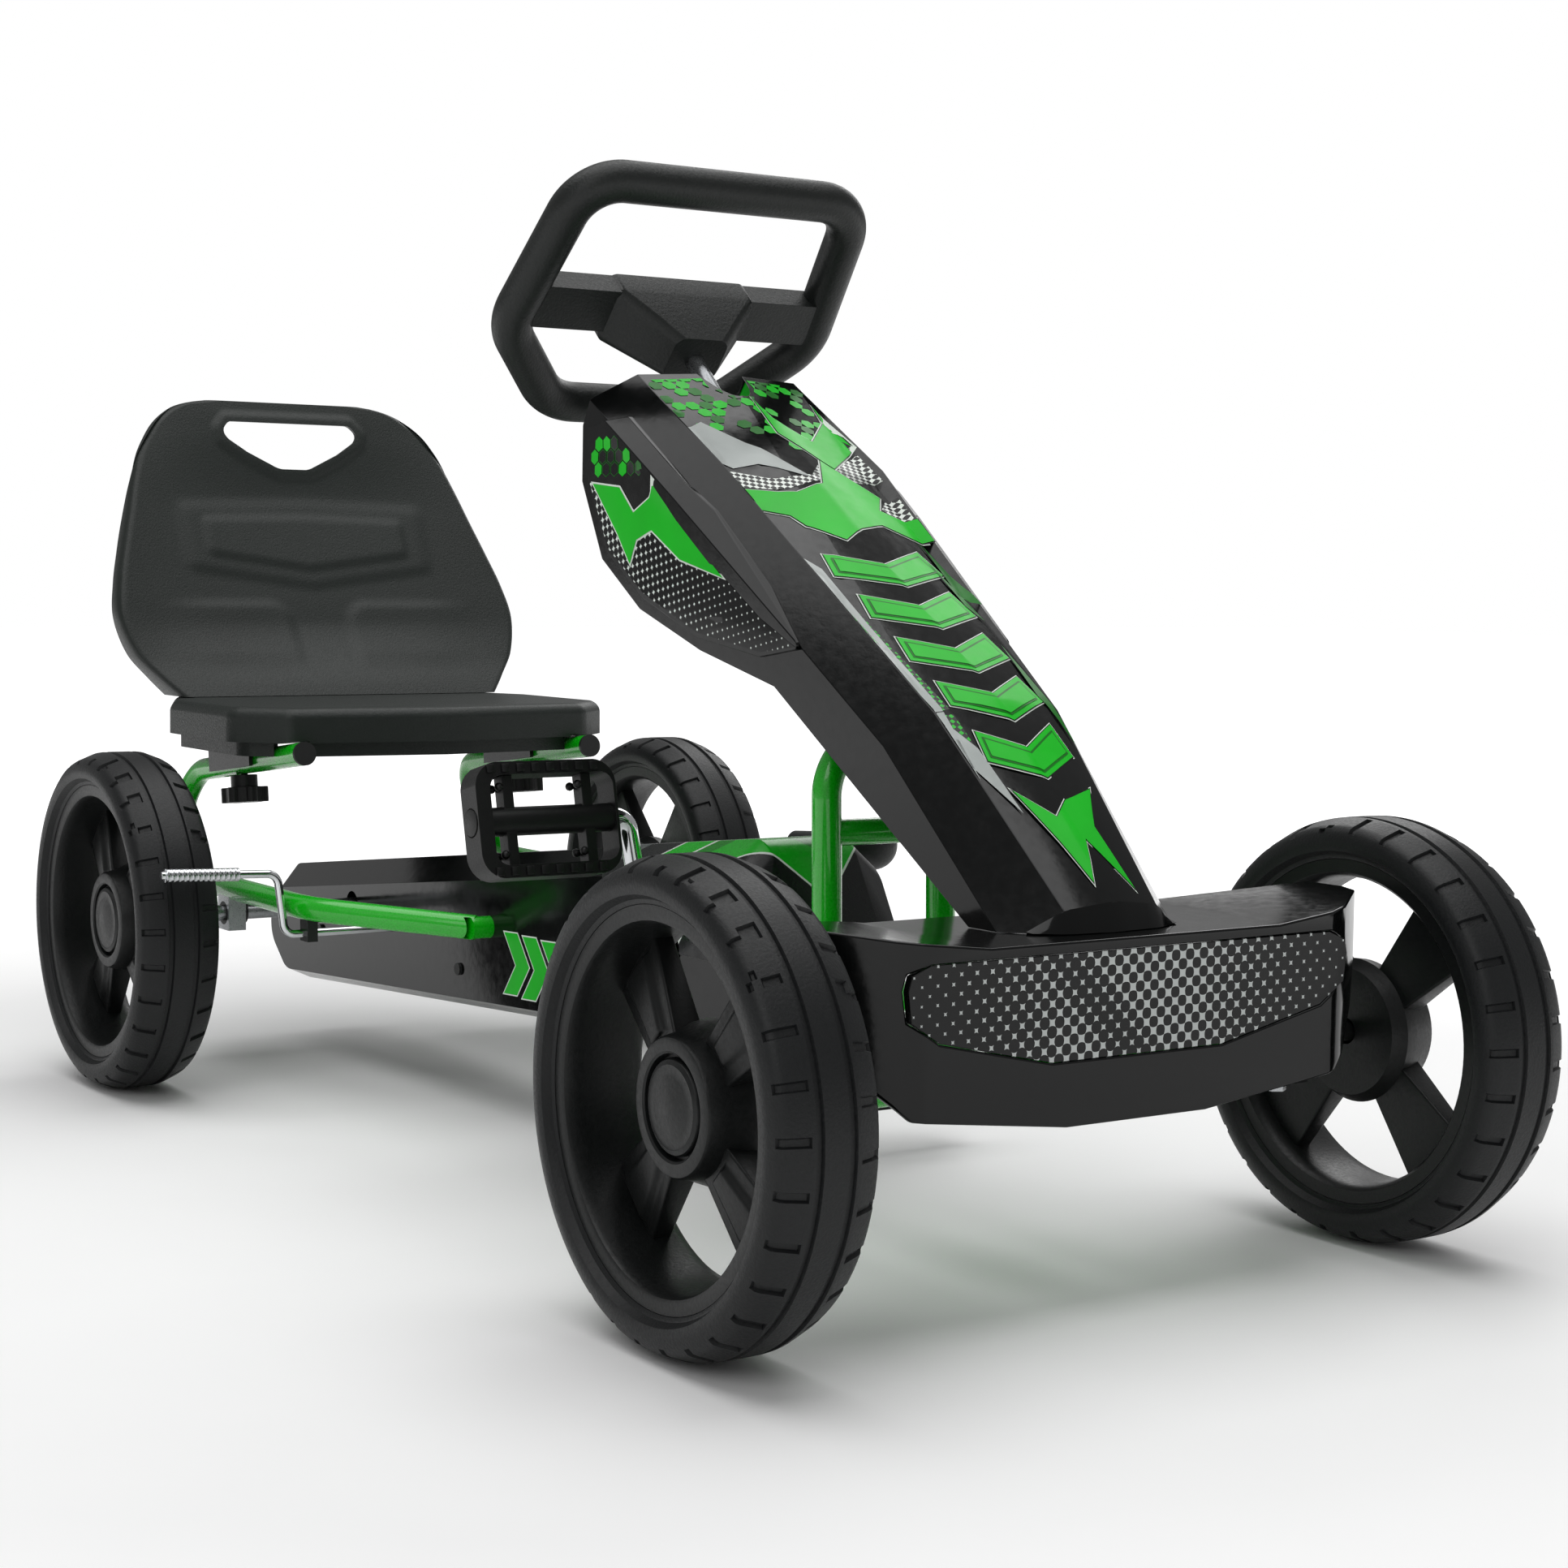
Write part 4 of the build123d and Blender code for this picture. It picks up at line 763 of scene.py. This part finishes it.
start_clean()
bpy.ops.mesh.primitive_grid_add(x_subdivisions=120, y_subdivisions=100, size=2)
back = bpy.context.object
back.name = "seat_back_moulding"
for vertex in back.data.vertices:
    across, up = (0.55 * t + 0.45 * math.sin(t * math.pi / 2) for t in (vertex.co.x, vertex.co.y))
    z = back_low + (back_high - back_low) * (up + 1) / 2
    half = curved(back_half_width, z)
    edge = min((1 - abs(across)) * half, back_high - z + 0.4 * (1 - abs(across)) * half)
    relief = back_relief(across * half, z)
    face = curved(back_front, z) - dished(across, z) + relief - rolled(edge, front_roll)
    vertex.co = placed(face, across * half, z)
bpy.ops.object.mode_set(mode="EDIT")
bpy.ops.mesh.select_all(action="SELECT")
bpy.ops.mesh.extrude_region_move(TRANSFORM_OT_translate={"value": (-0.012, 0, 0)})
bpy.ops.object.mode_set(mode="OBJECT")
for vertex in back.data.vertices:
    if vertex.select:
        y, z = vertex.co.y * 1000, vertex.co.z * 1000
        half = curved(back_half_width, z)
        edge = min(half - abs(y), back_high - z + 0.4 * (half - abs(y)))
        hollow = 0.7 * dished(y / half, z) * ease(z, 420, 330)
        vertex.co = placed(curved(back_rear, z) - hollow + rolled(max(0.0, edge), rear_roll), y, z)
bpy.ops.object.mode_set(mode="EDIT")
bpy.ops.mesh.select_all(action="SELECT")
bpy.ops.mesh.normals_make_consistent(inside=False)
bpy.ops.object.mode_set(mode="OBJECT")
start_clean()
bpy.ops.mesh.primitive_cylinder_add(vertices=len(grip), radius=0.05, depth=0.16)
cutter = bpy.context.object
for vertex in cutter.data.vertices:
    y, z = grip[vertex.index // 2]
    vertex.co = placed(-320 if vertex.index % 2 else -180, y, z)
bpy.ops.object.mode_set(mode="EDIT")
bpy.ops.mesh.select_all(action="SELECT")
bpy.ops.mesh.normals_make_consistent(inside=False)
bpy.ops.object.mode_set(mode="OBJECT")
bevel = cutter.modifiers.new("corners", "BEVEL")
bevel.width, bevel.segments, bevel.limit_method = 0.004, 3, "ANGLE"
bevel.angle_limit = math.radians(12)
start_clean()
back.select_set(True)
bpy.context.view_layer.objects.active = back
hole = back.modifiers.new("grip", "BOOLEAN")
hole.operation, hole.object, hole.solver = "DIFFERENCE", cutter, "EXACT"
bpy.ops.object.modifier_apply(modifier="grip")
bpy.data.objects.remove(cutter)
smooth(back, 45)
finished(back, seat_plastic, "seat", "seat_plastic", "seat_back")

# ---- Steering wheel.  A moulded rim in soft grained plastic, a wedge-shaped hub with two
# spokes, and a screw cover.
grip_plastic = surface("soft_grip_plastic", "#121614", "#0D100F", 0.45, 1.8, 0.30, patch_mm=60,
                       shine=0.36)
coat_nodes(grip_plastic, "steering_rim", "brake_grip")
hub = softened("steering_hub", 3.0)
finished(hub, grip_plastic, "steering", "satin_black_plastic", "steering_hub")

# ---- Pedals and clamp knobs.  Glass-filled nylon mouldings: a cage with square teeth along
# its edges, a barrel with webs riveted to the cage, and star knobs.
nylon_satin = surface("glass_filled_nylon", "#0E0F0F", "#0A0B0B", 0.42, 1.1, 0.2, patch_mm=25,
                      shine=0.36)
tooth_size, tooth_row, tooth_stand, tooth_pitch = (0.0052, 0.0052, 0.0024, 1.0), 0.0318, 0.0110, 10.2
rivet_row, rivet_stand, cap_out, tilt = 0.021, 0.0052, 0.0486, math.radians(13)
for hand, side in (("right", -1), ("left", 1)):
    body = hand + "_pedal"
    for part, width, segments in (("_pedal_cage", 1.6, 3), ("_pedal_barrel", 0.8, 2)):
        piece = softened(hand + part, width, segments)
        finished(piece, nylon_satin, body, "satin_black_plastic", hand + part)
    lift = -side
    centre = placed(490 + lift * 10, side * 148, 152 + lift * 88)
    turn = Matrix(((0, -math.sin(tilt), math.cos(tilt)), (1, 0, 0),
                   (0, math.cos(tilt), math.sin(tilt)))).to_4x4()
    teeth = []
    for row in (-1, 1):
        for face_side in (-1, 1):
            for index in range(8):
                start_clean()
                bpy.ops.mesh.primitive_cube_add(size=1)
                tooth = bpy.context.object
                tooth.data.transform(Matrix.Diagonal(tooth_size))
                spot = ((-38 + index * tooth_pitch) / 1000, row * tooth_row, face_side * tooth_stand)
                tooth.data.transform(Matrix.Translation(spot))
                teeth.append(tooth)
        for rivet in (-30.4, 24.5):
            for face_side in (-1, 1):
                start_clean()
                bpy.ops.mesh.primitive_uv_sphere_add(segments=12, ring_count=8, radius=0.0028)
                head = bpy.context.object
                spot = (rivet / 1000, row * rivet_row, face_side * rivet_stand)
                head.data.transform(Matrix.Translation(spot))
                teeth.append(head)
    start_clean()
    bpy.ops.mesh.primitive_cylinder_add(vertices=40, radius=0.0085, depth=0.002)
    end_cap = bpy.context.object
    facing = Matrix.Rotation(math.pi / 2, 4, "Y")
    end_cap.data.transform(Matrix.Translation((side * cap_out, 0, 0)) @ facing)
    teeth.append(end_cap)
    tread = joined(hand + "_pedal_tread", teeth)
    bevel = tread.modifiers.new("edges", "BEVEL")
    bevel.width, bevel.segments, bevel.limit_method = 0.0004, 2, "ANGLE"
    bpy.ops.object.modifier_apply(modifier="edges")
    tread.data.transform(Matrix.Translation(centre) @ turn)
    smooth(tread, 40)
    finished(tread, nylon_satin, body, "satin_black_plastic")
    knob = softened(hand + "_knob", 1.2)
    finished(knob, nylon_satin, hand + "_knob", "satin_black_plastic", hand + "_knob")

# ---- Studio.  A plain pale floor that glows away from the kart, a surround that is white to the
# camera, and soft lamps above and beside the kart.
start_clean()
bpy.ops.mesh.primitive_plane_add(size=30, location=(0, 0, -0.0006))
floor = bpy.context.object
floor.name = "studio_floor"
floor_paint = surface("pale_floor", "#FCFCFC", "#FAFAFA", 0.85, 40.0, 0.0)
floor_paint.node_tree.nodes["Principled BSDF"].inputs["Specular IOR Level"].default_value = 0.1
tree = floor_paint.node_tree
ground = add_node(tree, "VectorMath", {0: add_node(tree, "TexCoord").outputs["Object"]},
                  operation="LENGTH")
far_glow = add_node(tree, "MapRange", {0: ground.outputs["Value"], 1: 0.8, 2: 3.2, 3: 0.0, 4: 0.85})
tree.links.new(far_glow.outputs[0], tree.nodes["Principled BSDF"].inputs["Emission Strength"])
tree.nodes["Principled BSDF"].inputs["Emission Color"].default_value = linear("#FFFFFF")
floor.data.materials.append(floor_paint)
world = bpy.data.worlds.new("studio_surround")
bpy.context.scene.world = world
world.use_nodes = True
surround = world.node_tree.nodes["Background"]
surround.inputs["Color"].default_value = linear("#FFFFFF")
seen = add_node(world.node_tree, "LightPath").outputs["Is Camera Ray"]
glow = add_node(world.node_tree, "MapRange", {0: seen, 3: 0.30, 4: 1.0})
world.node_tree.links.new(glow.outputs[0], surround.inputs["Strength"])
for name, spot, size, power in (("overhead_softbox", (0.0, 0.0, 2.9), 3.2, 66.0),
                                ("key_softbox", (1.8, -2.2, 2.0), 1.5, 13.0),
                                ("far_softbox", (-1.6, 2.2, 2.0), 1.6, 22.0)):
    lamp = bpy.data.lights.new(name, "AREA")
    lamp.size, lamp.energy = size, power
    holder = bpy.data.objects.new(name, lamp)
    holder.location = spot
    holder.rotation_euler = (Vector((0, 0, 0.3)) - Vector(spot)).to_track_quat("-Z", "Y").to_euler()
    bpy.context.collection.objects.link(holder)
bpy.context.scene.view_settings.view_transform = "Standard"

# ---- Camera.  Low in front of the kart's right front wheel and looking back along the kart,
# which fills the width of the frame.
lens = bpy.data.cameras.new("camera")
lens.lens, lens.sensor_width = 62.11, 36.0
camera = bpy.data.objects.new("camera", lens)
bpy.context.collection.objects.link(camera)
yaw, pitch, roll = math.radians(146.61), math.radians(4.44), 0.0121
ahead = Vector((math.cos(yaw) * math.cos(pitch), math.sin(yaw) * math.cos(pitch), -math.sin(pitch)))
level = Vector((math.sin(yaw), -math.cos(yaw), 0))
upright = level.cross(ahead)
right = math.cos(roll) * level + math.sin(roll) * upright
upward = -math.sin(roll) * level + math.cos(roll) * upright
facing = Matrix((right, upward, -ahead)).transposed().to_4x4()
stand = placed(1976.2, -941.9, 393.9)
camera.matrix_world = Matrix.Translation(stand) @ facing
bpy.context.scene.camera = camera
